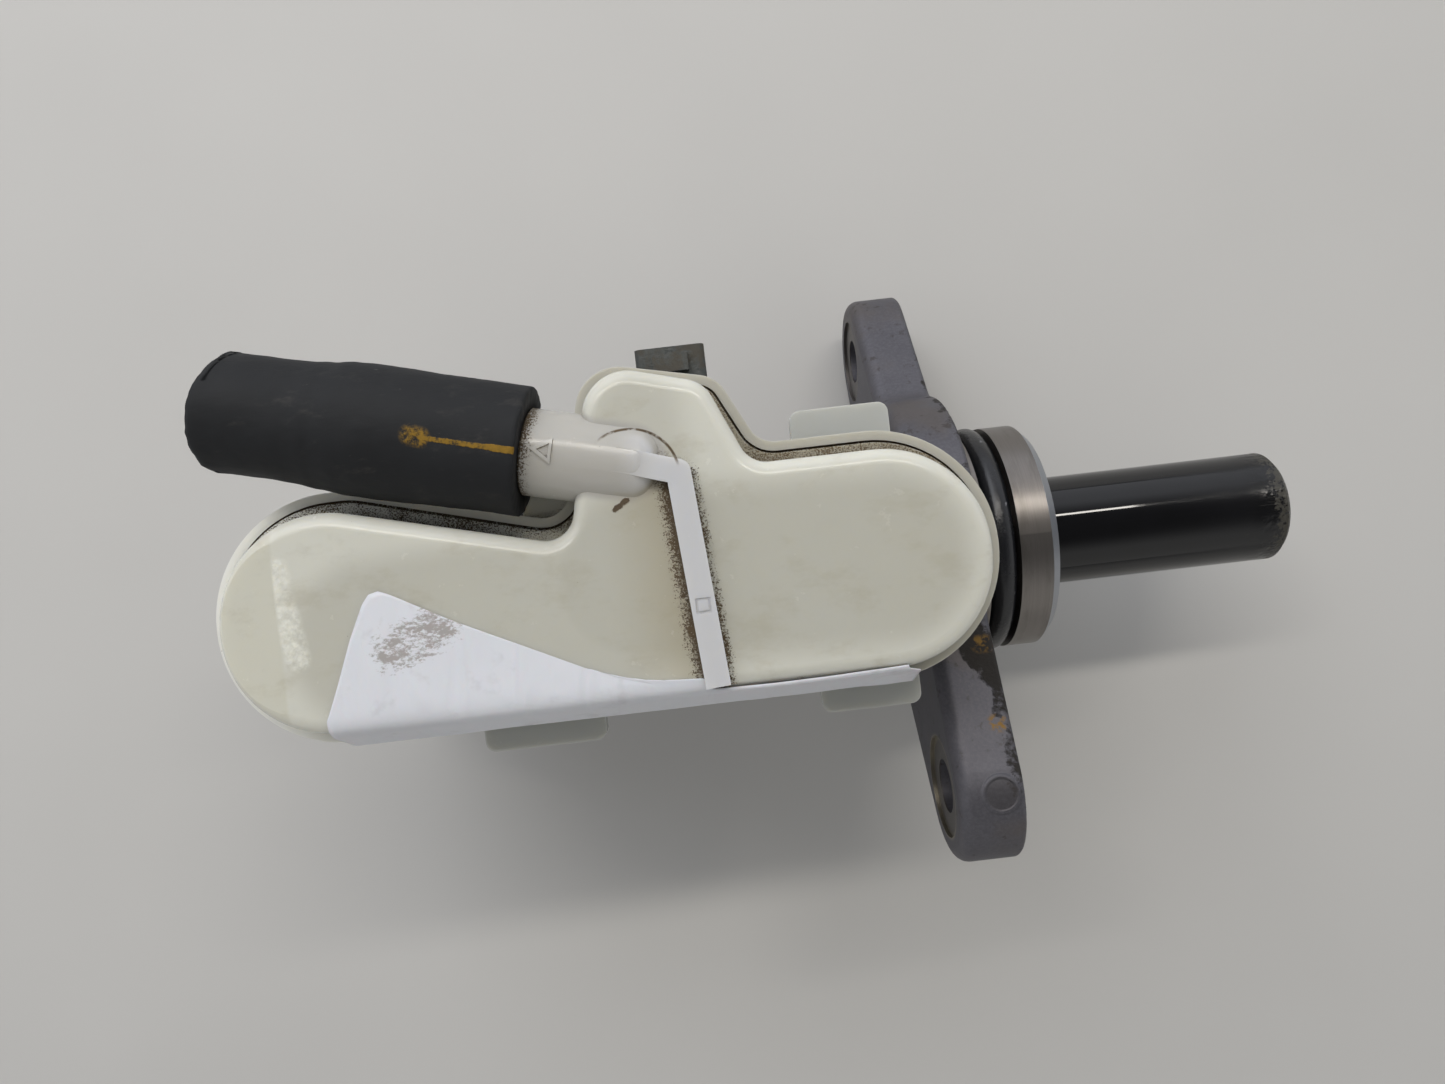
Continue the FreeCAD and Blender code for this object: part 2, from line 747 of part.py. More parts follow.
def flow_arrow():
    # A small raised triangle on the nipple's collar that shows the flow direction.
    crest = nipple_d / 2
    far = nipple_collar - arrow_inset
    near = far - arrow_len
    half = arrow_half - 2 * arrow_line
    solid = prism([(-far, 0), (-near, arrow_half), (-near, -arrow_half)], 0, crest + arrow_rise)
    inner = prism([(arrow_tip_line - far, 0), (-near - arrow_line, half), (-near - arrow_line, -half)],
                  0, crest + cut_over)
    shell = rod(-far - cut_over, cut_over - near, nipple_d + 2 * arrow_rise)
    return nipple_frame(solid.cut(inner).common(shell))


def crease_cut():
    # The top face falls away in a shallow facet at the front end.
    x0 = crease_x - crease_run
    wedge = prism([(x0, top_z - crease_drop), (crease_x, top_z), (crease_x, top_z + 1), (x0, top_z + 1)],
                  -30, 30)
    wedge.rotate(Vec(0, 0, 0), along_x, 90)
    return wedge


def reservoir_upper():
    flange_inset = lip_w + seam_gap
    flange = inner_prism((0, 0, 0, 0), flange_inset, flange_z, flange_z + flange_h)
    box = rounded_prism(reservoir_corners(wall_inset), flange_z, top_z)
    box = box.makeFillet(top_edge_r, edges_at(box, "Z", top_z))
    outside = fuse(flange, box.cut(crease_cut()), nipple_outside(), raised_strip(), flow_arrow())
    hollow = inner_prism(wall_inset, shell_t, flange_z - 1, top_z - shell_t)
    return outside.cut([hollow, nipple_bore(), strip_mark_cut()]).removeSplitter()


def tab(x, length, side):
    # A flat ear under the rim, rounded only at its two outer corners.
    edge = rim_high if side > 0 else rim_low
    inner_y = edge - side * (wall_inset[2] + shell_t)
    outer_y = edge + side * tab_reach
    half = length / 2
    plate = block(x - half, x + half, min(inner_y, outer_y), max(inner_y, outer_y), tab_z, tab_z + tab_t)
    outer_edges = [e for e in edges_at(plate, "Y", outer_y) if e.BoundBox.ZLength > tab_t / 2]
    return plate.makeFillet(tab_corner_r, outer_edges)


def float_guide():
    inner = float_d + 2 * float_guide_gap
    outer = inner + 2 * float_guide_t
    tube = post(float_x, float_y, floor_z, float_guide_top_z, outer)
    hole = post(float_x, float_y, floor_z - 1, float_guide_top_z + 1, inner)
    slot = block(float_x - outer, float_x + outer, float_y - guide_slot / 2, float_y + guide_slot / 2,
                 floor_z + shell_t, float_guide_top_z - guide_slot_top)
    return tube.cut([hole, slot])


def sensor_well():
    outer = sensor_stem_d + 2 * (push_gap + sensor_well_t)
    inner = sensor_stem_d + 2 * push_gap
    wall_y = lobe_right[1] - wall_inset[3] + 1
    tube = side_rod(sensor_x, sensor_z, sensor_stem_in - sensor_well_t - push_gap, wall_y, outer)
    hole = side_rod(sensor_x, sensor_z, sensor_stem_in - push_gap, wall_y + 8, inner)
    return tube, hole


def pin_cheeks():
    # Two cheeks under the floor that straddle the casting's lug.
    cheeks = []
    for side in (1, -1):
        inner_y = side * (lug_half + lug_gap)
        y0, y1 = sorted((inner_y, inner_y + side * cheek_t))
        cheeks.append(block(pin_x - lug_w / 2, pin_x + lug_w / 2, y0, y1, pin_z - cheek_drop, floor_z + 1))
    return cheeks


def reservoir_lower():
    corners = reservoir_corners()
    ledge = rounded_prism(corners, ledge_z, flange_z + lip_h)
    trough = inner_prism((0, 0, 0, 0), lip_w, flange_z, flange_z + lip_h + 1)
    box = rounded_prism(reservoir_corners(wall_inset), floor_z, flange_z)
    box = box.makeFillet(top_edge_r, edges_at(box, "Z", floor_z))
    outside = [ledge.cut(trough), box]
    outside += [tab(x, length, side) for x, length, side in tabs]
    x0, x1, y0, y1 = notch_web
    outside.append(block(x0, x1, y0, y1, ledge_z - notch_web_t, ledge_z))
    outside += [post(x, 0, floor_z - spigot_below, floor_z + 1, spigot_od) for x in grommet_x]
    outside += pin_cheeks()
    hollow = inner_prism(wall_inset, shell_t, floor_z + shell_t, flange_z + 1)
    well, well_hole = sensor_well()
    keep_low = rounded_prism(reservoir_corners(wall_inset), floor_z + shell_t / 4, flange_z)
    keep_high = inner_prism(wall_inset, shell_t + seam_gap, flange_z, float_guide_top_z)
    guide = fuse(float_guide().common(keep_low), float_guide().common(keep_high))
    shape = fuse(fuse(*outside).cut(hollow), well.common(keep_low), guide)
    holes = [post(x, 0, floor_z - spigot_below - 1, floor_z + shell_t + 1, spigot_id) for x in grommet_x]
    holes.append(well_hole)
    holes.append(side_rod(pin_x, pin_z, -20, 20, pin_d))
    return shape.cut(holes).removeSplitter()


def reservoir_pin():
    tube = side_rod(pin_x, pin_z, -pin_len / 2, pin_len / 2, pin_d - 2 * push_gap)
    hole = side_rod(pin_x, pin_z, -pin_len, pin_len, pin_d - 2 * pin_wall)
    slit = block(pin_x - pin_slit / 2, pin_x + pin_slit / 2, -pin_len, pin_len, pin_z, pin_z + pin_d)
    return tube.cut([hole, slit])


# ---- level sensor and float ----

def plug_start_y():
    # Far enough out for the plug's front corner to clear the sloping wall.
    slope = (lobe_left[1] - lobe_right[1]) / (lobe_right[0] - lobe_left[0])
    corner_run = lobe_right[0] - sensor_x + plug_w / 2
    return lobe_right[1] - wall_inset[3] + slope * corner_run + plug_gap


def level_sensor():
    half_w = plug_w / 2
    half_h = plug_h / 2
    y0 = plug_start_y()
    shroud = block(sensor_x - half_w, sensor_x + half_w, y0, plug_front_y,
                   sensor_z - half_h, sensor_z + half_h)
    shroud = shroud.makeFillet(plug_corner_r, [e for e in shroud.Edges if e.BoundBox.YLength > 1])
    latch = block(sensor_x - latch_w / 2, sensor_x + latch_w / 2, y0 + latch_back, plug_front_y - latch_front,
                  sensor_z, sensor_z + half_h + latch_rise)
    socket = block(sensor_x - half_w + plug_wall, sensor_x + half_w - plug_wall,
                   plug_front_y - plug_depth, plug_front_y + 1,
                   sensor_z - half_h + plug_wall, sensor_z + half_h - plug_wall)
    stem = side_rod(sensor_x, sensor_z, sensor_stem_in, y0 + 1, sensor_stem_d)
    return fuse(shroud, latch, stem).cut(socket)


def sensor_terminals():
    blades = []
    back = plug_front_y - plug_depth
    for side in (1, -1):
        x = sensor_x + side * terminal_pitch / 2
        blades.append(block(x - terminal_w / 2, x + terminal_w / 2, back, back + terminal_reach,
                            sensor_z - terminal_h / 2, sensor_z + terminal_h / 2))
    return Part.makeCompound(blades)


def float_body():
    puck = post(float_x, float_y, float_rest_z, float_rest_z + float_h, float_d)
    pocket = post(float_x, float_y, float_rest_z - 1, float_rest_z + magnet_h, magnet_d)
    return puck.cut(pocket)


def float_magnet():
    return post(float_x, float_y, float_rest_z, float_rest_z + magnet_h - 0.05, magnet_d - 2 * push_gap)


# ---- hose and label ----

def inlet_hose():
    start = nipple_collar + hose_collar_gap
    end = start + hose_len
    bulge = nipple_len - barb_back
    edge = hose_edge_r
    outer = [(start, hose_mouth_d / 2 - edge), (start + edge, hose_mouth_d / 2),
             (bulge - hose_bulge_run, hose_mouth_d / 2 + hose_swell), (bulge - 1.5, hose_bulge_d / 2),
             (bulge + 2, hose_bulge_d / 2), (bulge + hose_bulge_run, hose_d / 2),
             (end - edge, hose_d / 2), (end, hose_d / 2 - edge)]
    inner = nipple_profile(hose_fit)
    inner[0] = (start, inner[0][1])
    inner += [(nipple_len + hose_bore_run, hose_bore_d / 2), (end, hose_bore_d / 2)]
    loop = outer + inner[::-1]
    return nipple_frame(turned([(-x, r) for x, r in loop]))


def label_side(x0, x1, start_y, start_z):
    # The part of the label that bridges from the top edge to the rim and hangs past it.
    wall_y = rim_low + wall_inset[1] - groove_gap
    rim_y = rim_low - label_out
    bends = [(wall_y, start_z), (rim_y, lip_top_z + label_rim_lift), (rim_y, flange_z - label_hem)]
    outer = [(y - label_t, z) for y, z in bends]
    if start_y > wall_y:
        outer[0] = (wall_y - label_t, start_z + label_t)
        bends.insert(0, (start_y, start_z))
        outer.insert(0, (start_y, start_z + label_t))
    corners = [Vec(x0, y, z) for y, z in bends + outer[::-1]]
    return Part.Face(Part.makePolygon(corners + corners[:1])).extrude(Vec(x1 - x0, 0, 0))


def paper_label():
    z0 = top_z + label_lift
    top = prism(label_top, z0, z0 + label_t)
    front_x, edge_y = label_top[1]
    wrapped = label_side(front_x, label_bend_x, edge_y, z0)
    wall_y = rim_low + wall_inset[1] - groove_gap
    side = label_side(label_bend_x, label_end_x, wall_y, z0 - label_drop)
    return fuse(top, wrapped, side)


def build_all():
    os.makedirs("parts", exist_ok=True)
    save("cylinder_body", cylinder_body())
    save("spigot_o_ring", spigot_o_ring())
    save("piston_guide", piston_guide())
    save("guide_o_ring", guide_o_ring())
    save("snap_ring", snap_ring())
    save("rod_seal", rod_seal())
    save("primary_cup", cup(primary_cup_seat))
    save("separating_cup", cup(separating_cup_seat))
    save("secondary_cup", cup(secondary_cup_seat))
    save("primary_piston", primary_piston())
    save("secondary_piston", secondary_piston())
    save("primary_spring", primary_spring())
    save("secondary_spring", secondary_spring())
    save("spring_retainer", spring_retainer())
    save("retainer_screw", retainer_screw())
    save("port_seats", port_seats())
    save("rear_grommet", grommet(grommet_x[0]))
    save("front_grommet", grommet(grommet_x[1]))
    save("reservoir_upper", reservoir_upper())
    save("reservoir_lower", reservoir_lower())
    save("reservoir_pin", reservoir_pin())
    save("level_sensor", level_sensor())
    save("sensor_terminals", sensor_terminals())
    save("float_body", float_body())
    save("float_magnet", float_magnet())
    save("inlet_hose", inlet_hose())
    save("paper_label", paper_label())


build_all()
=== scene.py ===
import math

import bmesh
import bpy
from mathutils import Matrix, Vector, noise


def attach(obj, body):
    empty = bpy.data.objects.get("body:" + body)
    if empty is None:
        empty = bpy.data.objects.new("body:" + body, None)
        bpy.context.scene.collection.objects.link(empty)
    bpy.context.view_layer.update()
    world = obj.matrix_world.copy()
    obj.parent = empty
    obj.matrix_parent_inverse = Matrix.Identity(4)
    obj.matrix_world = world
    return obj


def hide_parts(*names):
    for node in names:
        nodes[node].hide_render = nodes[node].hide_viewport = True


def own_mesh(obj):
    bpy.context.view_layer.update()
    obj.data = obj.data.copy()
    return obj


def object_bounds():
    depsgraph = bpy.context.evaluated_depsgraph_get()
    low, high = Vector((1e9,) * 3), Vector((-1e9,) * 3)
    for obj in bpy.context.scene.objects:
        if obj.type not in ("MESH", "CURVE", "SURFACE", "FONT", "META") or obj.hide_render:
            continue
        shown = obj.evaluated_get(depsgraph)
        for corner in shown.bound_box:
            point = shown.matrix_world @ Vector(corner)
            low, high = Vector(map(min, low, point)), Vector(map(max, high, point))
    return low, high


# Brake master cylinder off a car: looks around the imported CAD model. Metres, row frame.
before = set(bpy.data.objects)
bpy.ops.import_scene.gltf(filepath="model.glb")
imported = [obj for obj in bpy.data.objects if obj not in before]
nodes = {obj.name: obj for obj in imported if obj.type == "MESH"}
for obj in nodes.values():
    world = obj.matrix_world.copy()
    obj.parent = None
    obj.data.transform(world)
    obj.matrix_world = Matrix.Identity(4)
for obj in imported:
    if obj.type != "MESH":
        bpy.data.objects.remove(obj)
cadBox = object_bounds()
mm = 0.001
print("frame loaded:", len(nodes), "CAD nodes")


def linearColour(hexValue, alpha=1.0):
    # sRGB hex to the linear values that shader sockets take
    channels = [int(hexValue[i:i + 2], 16) / 255 for i in (1, 3, 5)]
    linear = [c / 12.92 if c <= 0.04045 else ((c + 0.055) / 1.055) ** 2.4 for c in channels]
    return (*linear, alpha)


usualSettings = {"Mix": {"data_type": "RGBA"}, "MapRange": {"interpolation_type": "SMOOTHSTEP"},
                 "TexNoise": {"Detail": 3.0}}


def addNode(mat, kind, *values, stops=None, **details):
    # One node with its settings and links; it gives back the node's first open output. The values fill the
    # open sockets in order. Details with a capital letter fill a socket by name, the others are settings.
    # A value is a number, a hex colour or another node's output.
    node = mat.node_tree.nodes.new("ShaderNode" + kind)
    details = {**usualSettings.get(kind, {}), **details}
    for name, value in details.items():
        if name[0].islower():
            setattr(node, name, value)
    sockets = [socket for socket in node.inputs if socket.enabled]
    named = [(node.inputs[name], value) for name, value in details.items() if name[0].isupper()]
    for socket, value in [*zip(sockets, values), *named]:
        if isinstance(value, bpy.types.NodeSocket):
            mat.node_tree.links.new(value, socket)
        else:
            socket.default_value = linearColour(value) if isinstance(value, str) else value
    for i, (place, colour) in enumerate(stops or ()):
        element = node.color_ramp.elements[i] if i < 2 else node.color_ramp.elements.new(place)
        element.position, element.color = place, linearColour(colour)
    return next(socket for socket in node.outputs if socket.enabled)


def newMaterial(name):
    mat = bpy.data.materials.new(name)
    mat.use_nodes = True
    shader = mat.node_tree.nodes["Principled BSDF"]
    place = addNode(mat, "TexCoord").node.outputs["Object"]
    # pattern space in millimetres, so every scale below is one over a size in mm
    space = addNode(mat, "VectorMath", place, 1 / mm, operation="SCALE")
    return mat, shader, space


def distanceFromRun(mat, space, start, end):
    # distance in mm from the straight run between two points
    run = Vector(end) - Vector(start)
    fromStart = addNode(mat, "VectorMath", space, start, operation="SUBTRACT")
    along = addNode(mat, "VectorMath", fromStart, run / run.length_squared, operation="DOT_PRODUCT")
    nearest = addNode(mat, "VectorMath", tuple(run), addNode(mat, "Clamp", along), operation="SCALE")
    away = addNode(mat, "VectorMath", fromStart, nearest, operation="SUBTRACT")
    return addNode(mat, "VectorMath", away, operation="LENGTH")


def speckle(mat, closeness, grains, low=0.95, high=1.1):
    # crumbs that thin out: a grain shows where closeness and the grain noise add up
    return addNode(mat, "MapRange", addNode(mat, "Math", closeness, grains, operation="ADD"), low, high)


def connect(mat, output, shader, socketName):
    mat.node_tree.links.new(output, shader.inputs[socketName])


def dress(nodeName, mat):
    mesh = nodes[nodeName].data
    mesh.materials.clear()
    mesh.materials.append(mat)


def pieceFrom(name, verts, faces, mat, body, smooth=True):
    mesh = bpy.data.meshes.new(name)
    mesh.from_pydata([tuple(v) for v in verts], [], faces)
    mesh.validate()
    build = bmesh.new()
    build.from_mesh(mesh)
    bmesh.ops.recalc_face_normals(build, faces=build.faces)
    build.to_mesh(mesh)
    build.free()
    mesh.materials.append(mat)
    for polygon in mesh.polygons:
        polygon.use_smooth = smooth
    piece = bpy.data.objects.new(name, mesh)
    bpy.context.scene.collection.objects.link(piece)
    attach(piece, body)
    return piece


cameraSet = {"place": (-0.0442, 0.0023, 0.1931), "lensMm": 24.91, "sensorMm": 36.0,
             "right": (0.9933, -0.1154, 0.0060), "up": (0.1153, 0.9932, 0.0150),
             "back": (-0.0077, -0.0142, 0.9999)}


def makeCamera():
    data = bpy.data.cameras.new("camera")
    data.lens = cameraSet["lensMm"]
    data.sensor_width = cameraSet["sensorMm"]
    data.clip_start = 0.005
    data.clip_end = 20
    camera = bpy.data.objects.new("camera", data)
    turn = Matrix((cameraSet["right"], cameraSet["up"], cameraSet["back"])).transposed()
    camera.matrix_world = Matrix.Translation(cameraSet["place"]) @ turn.to_4x4()
    bpy.context.scene.collection.objects.link(camera)
    bpy.context.scene.camera = camera


makeCamera()
bpy.context.scene.view_settings.view_transform = "Standard"
print("camera placed")

lightSet = {"tubeTiltDeg": 30, "tubeDistance": 0.75, "tubeSize": (0.8, 0.05), "tubeWatts": 2.5,
            "tubeColour": "#fffaf2", "fillFrom": (-0.55, 0.9, 0.75), "fillSize": (1.2, 0.8),
            "fillWatts": 4.9, "fillColour": "#f4f7ff", "ceilingFrom": (-0.2, -0.25, 1.0),
            "ceilingSize": (0.8, 0.8), "ceilingWatts": 0.9, "ceilingColour": "#fdf9f2",
            "aim": (-0.02, 0.0, 0.02), "bench": "#b9b8b5", "sides": "#c6c7ca", "backWall": "#eceff6",
            "zenith": "#262626", "zenithShare": 0.9, "backdrop": "#c0c1c4", "worldStrength": 1.08}


def areaLight(name, offset, lamp):
    # a rectangle of light, placed by its offset from the point that it looks at
    data = bpy.data.lights.new(name, "AREA")
    data.shape = "RECTANGLE"
    data.size, data.size_y = lightSet[lamp + "Size"]
    data.energy = lightSet[lamp + "Watts"]
    data.color = linearColour(lightSet[lamp + "Colour"])[:3]
    light = bpy.data.objects.new(name, data)
    light.location = Vector(lightSet["aim"]) + Vector(offset)
    light.rotation_euler = (-Vector(offset)).to_track_quat("-Z", "Y").to_euler()
    bpy.context.scene.collection.objects.link(light)
    return light


def makeLights():
    # one lamp tube behind the part for the thin streaks, one wide panel for soft shade below it
    tilt = math.radians(lightSet["tubeTiltDeg"])
    reach = lightSet["tubeDistance"]
    areaLight("lampTube", (-0.02, math.sin(tilt) * reach, math.cos(tilt) * reach), "tube")
    areaLight("widePanel", lightSet["fillFrom"], "fill")
    ceiling = areaLight("ceilingPanel", lightSet["ceilingFrom"], "ceiling")
    ceiling.visible_glossy = False   # lifts the shade without a mirror image in the piston
    world = bpy.data.worlds.new("studio")
    bpy.context.scene.world = world
    world.use_nodes = True
    backdrop = world.node_tree.nodes["Background"]
    way = addNode(world, "SeparateXYZ", addNode(world, "TexCoord").node.outputs["Generated"]).node.outputs
    # brighter towards the back wall, darker over the bench where the viewer stands
    fromWall = addNode(world, "Math", way[1], 0.5, 0.5, operation="MULTIPLY_ADD")
    stops = ((0.0, lightSet["bench"]), (1.0, lightSet["backWall"]), (0.5, lightSet["sides"]))
    fromWall = addNode(world, "ValToRGB", fromWall, stops=stops)
    overhead = addNode(world, "MapRange", way[2], 0.5, 0.9)
    studio = addNode(world, "Math", overhead, lightSet["zenithShare"], operation="MULTIPLY")
    studio = addNode(world, "Mix", studio, fromWall, lightSet["zenith"])
    seen = addNode(world, "Mix", addNode(world, "LightPath"), studio, lightSet["backdrop"])
    connect(world, seen, backdrop, "Color")
    backdrop.inputs["Strength"].default_value = lightSet["worldStrength"]


makeLights()

floorSet = {"dark": "#c2c1be", "light": "#cccbc8", "cloudMm": 90, "roughness": 0.62, "halfWidth": 6.0,
            "gap": 0.0003}


def makeFloor():
    low = cadBox[0].z - floorSet["gap"]
    mat, shader, space = newMaterial("paintedBench")   # matt pale paint: even, only faint cloudiness
    tone = addNode(mat, "TexNoise", space, Scale=1 / floorSet["cloudMm"])
    tone = addNode(mat, "Mix", tone, floorSet["dark"], floorSet["light"])
    connect(mat, tone, shader, "Base Color")
    shader.inputs["Roughness"].default_value = floorSet["roughness"]
    mesh = bpy.data.meshes.new("floor")
    half = floorSet["halfWidth"]
    corners = [(-half, -half, low), (half, -half, low), (half, half, low), (-half, half, low)]
    mesh.from_pydata(corners, [], [(0, 1, 2, 3)])
    mesh.materials.append(mat)
    floor = bpy.data.objects.new("floor", mesh)
    bpy.context.scene.collection.objects.link(floor)


makeFloor()
print("lights and floor placed")


castSet = {"light": "#646369", "dark": "#4d4c52", "glint": "#7b7a80", "warm": "#655c54", "stain": "#3f3a36",
           "grimeAndShade": "#221e18", "rust": "#7d5f2a", "spotFace": "#625e59", "spotRing": "#a39c88",
           "chamfer": "#9fa3aa", "milled": "#5c5854", "groove": "#726e6a", "ridge": "#8f8a86",
           "smear": "#67625d", "landStain": "#4f4233", "lowerStud": (-40.845, 22.641),
           "upperStud": (40.845, -22.641), "spotRadius": 8.5, "moulderMark": (-3.8, -40.1, 35.2),
           "markRadius": 2.85, "grainMm": 0.55, "blotchMm": 9.0,
           "rustSpots": ((-1.5, -17.1, 26.9), (-1.4, -29.5, 31.7))}


def castGrime(mat, space, x, y):
    # caked dirt along the edge next to the mounting face, thickest on the shoulder of the nearer ear
    patch = addNode(mat, "TexNoise", space, Scale=1 / 4.0, Detail=4, Roughness=0.7)
    edge = addNode(mat, "MapRange", x, -7.0, -0.4)
    lowerEar = addNode(mat, "MapRange", y, -12, -17)
    lowerEar = addNode(mat, "Math", lowerEar, addNode(mat, "MapRange", y, -41, -33), operation="MULTIPLY")
    upperEar = addNode(mat, "MapRange", y, 15, 22)
    upperEar = addNode(mat, "Math", upperEar, addNode(mat, "MapRange", y, 46, 26), operation="MULTIPLY")
    lean = addNode(mat, "Math", upperEar, 0.13, 0.41, operation="MULTIPLY_ADD")
    lean = addNode(mat, "Math", lowerEar, 0.17, lean, operation="MULTIPLY_ADD")
    dirty = speckle(mat, addNode(mat, "Math", edge, lean, operation="MULTIPLY"), patch, 1.0, 1.12)
    shoulder = distanceFromRun(mat, space, (-4.5, -15.0, 26.0), (-1.5, -21.0, 28.5))
    near = addNode(mat, "Math", addNode(mat, "MapRange", shoulder, 6.0, 1.5), 0.55, operation="MULTIPLY")
    dirty = addNode(mat, "Math", dirty, speckle(mat, near, patch, 0.86, 1.0), operation="MAXIMUM")
    # never on the turned faces behind the mounting plane
    return addNode(mat, "Math", dirty, addNode(mat, "MapRange", x, -0.04, -0.2), operation="MULTIPLY")


def castAluminium():
    # Pressure-cast aluminium, years old: purplish grey, matt, finely grained, with oily stains.
    # Turned faces of the spigot and the drilled spot faces stay bright.
    mat, shader, space = newMaterial("castAluminium")
    x, y = addNode(mat, "SeparateXYZ", space).node.outputs[:2]
    blotch = addNode(mat, "TexNoise", space, Scale=1 / castSet["blotchMm"], Detail=4, Roughness=0.6)
    grain = addNode(mat, "TexNoise", space, Scale=1 / castSet["grainMm"], Roughness=0.7)
    skin = addNode(mat, "Mix", blotch, castSet["dark"], castSet["light"])
    skin = addNode(mat, "Mix", addNode(mat, "MapRange", grain, 0.35, 0.75, 0.0, 0.3), skin, castSet["glint"])
    # warm tarnish and dark oily marks
    warm = addNode(mat, "TexNoise", space, Scale=1 / 14, Roughness=0.6)
    warm = addNode(mat, "MapRange", warm, 0.5, 0.7, 0.0, 0.4)
    skin = addNode(mat, "Mix", warm, skin, castSet["warm"])
    mark = addNode(mat, "TexNoise", space, Scale=1 / 2.6, Detail=4, Roughness=0.6)
    mark = addNode(mat, "MapRange", mark, 0.6, 0.7, 0.0, 0.65)
    skin = addNode(mat, "Mix", mark, skin, castSet["stain"])
    dirty = castGrime(mat, space, x, y)
    skin = addNode(mat, "Mix", addNode(mat, "Math", dirty, 0.9, operation="MULTIPLY"), skin,
                   castSet["grimeAndShade"])
    rustGrain = addNode(mat, "TexNoise", space, Scale=1 / 1.3, Roughness=0.6)
    rustGrain = addNode(mat, "MapRange", rustGrain, 0.45, 0.62)
    for spotPlace in castSet["rustSpots"]:
        inward = (spotPlace[0] - 1.0, *spotPlace[1:])
        near = addNode(mat, "MapRange", distanceFromRun(mat, space, spotPlace, inward), 1.9, 0.8)
        skin = addNode(mat, "Mix", addNode(mat, "Math", near, rustGrain, operation="MULTIPLY"), skin,
                       castSet["rust"])
    # grime and painted shade in crevices and joints: ambient occlusion darkens the colour wherever the
    # casting is hemmed in
    occludedShade = addNode(mat, "AmbientOcclusion", Distance=4 * mm, samples=6).node.outputs["AO"]
    skin = addNode(mat, "Mix", addNode(mat, "MapRange", occludedShade, 0.75, 0.25, 0.0, 0.7), skin,
                   castSet["grimeAndShade"])
    # round mark of an ejector pin on the side of the nearer ear
    markX, markY, markZ = castSet["moulderMark"]
    fromMark = distanceFromRun(mat, space, (markX, markY, markZ), (markX, markY, markZ - 5.2))
    ring = addNode(mat, "Math", fromMark, castSet["markRadius"], operation="SUBTRACT")
    ring = addNode(mat, "Math", ring, operation="ABSOLUTE")
    ring = addNode(mat, "MapRange", ring, 0.55, 0.1)
    inside = addNode(mat, "MapRange", fromMark, castSet["markRadius"] + 0.05, castSet["markRadius"] - 0.35)
    skin = addNode(mat, "Mix", addNode(mat, "Math", inside, 0.35, operation="MULTIPLY"), skin,
                   castSet["stain"])
    # machined zones: behind the mounting face, and round each stud hole
    turnedZone = addNode(mat, "MapRange", x, -0.12, -0.04)
    spot = None
    for stud in (castSet["lowerStud"], castSet["upperStud"]):
        away = distanceFromRun(mat, space, (-20.0, *stud), (5.0, *stud))
        near = addNode(mat, "MapRange", away, castSet["spotRadius"] + 0.2, castSet["spotRadius"] + 0.05)
        near = addNode(mat, "Math", near, addNode(mat, "MapRange", x, -9.6, -9.8), operation="MULTIPLY")
        spot = near if spot is None else addNode(mat, "Math", spot, near, operation="MAXIMUM")
    rim = distanceFromRun(mat, space, (-20.0, *castSet["lowerStud"]), (5.0, *castSet["lowerStud"]))
    rubbedRim = addNode(mat, "Math", rim, castSet["spotRadius"] - 0.2, operation="SUBTRACT")
    rubbedRim = addNode(mat, "Math", rubbedRim, operation="ABSOLUTE")
    rubbedRim = addNode(mat, "MapRange", rubbedRim, 0.8, 0.2, 0.0, 0.8)
    rubbedRim = addNode(mat, "Math", rubbedRim, addNode(mat, "MapRange", x, -9.6, -9.8),
                        operation="MULTIPLY")
    rubbedRim = addNode(mat, "Math", rubbedRim, addNode(mat, "TexNoise", space, Scale=1 / 5, Detail=2),
                        operation="MULTIPLY")
    toolLines = addNode(mat, "VectorMath", space, (9.0, 0.05, 0.05), operation="MULTIPLY")
    toolLines = addNode(mat, "TexNoise", toolLines, Scale=1.0, Roughness=0.6)
    smearTurned = addNode(mat, "VectorMath", space, (0.5, 0.1, 0.1), operation="MULTIPLY")
    smearTurned = addNode(mat, "TexNoise", smearTurned, Scale=1.0, Roughness=0.6)
    bright = addNode(mat, "Mix", toolLines, castSet["groove"], castSet["ridge"])
    bright = addNode(mat, "Mix", addNode(mat, "MapRange", smearTurned, 0.5, 0.72, 0.0, 0.5), bright,
                     castSet["smear"])
    landOnly = addNode(mat, "MapRange", x, 0.05, 0.2)
    landOnly = addNode(mat, "Math", addNode(mat, "MapRange", x, 3.2, 1.2), landOnly, operation="MULTIPLY")
    stainRing = addNode(mat, "MapRange", addNode(mat, "TexNoise", space, Scale=1 / 5), 0.45, 0.62)
    stainRing = addNode(mat, "Math", landOnly, stainRing, operation="MULTIPLY")
    bright = addNode(mat, "Mix", stainRing, bright, castSet["landStain"])
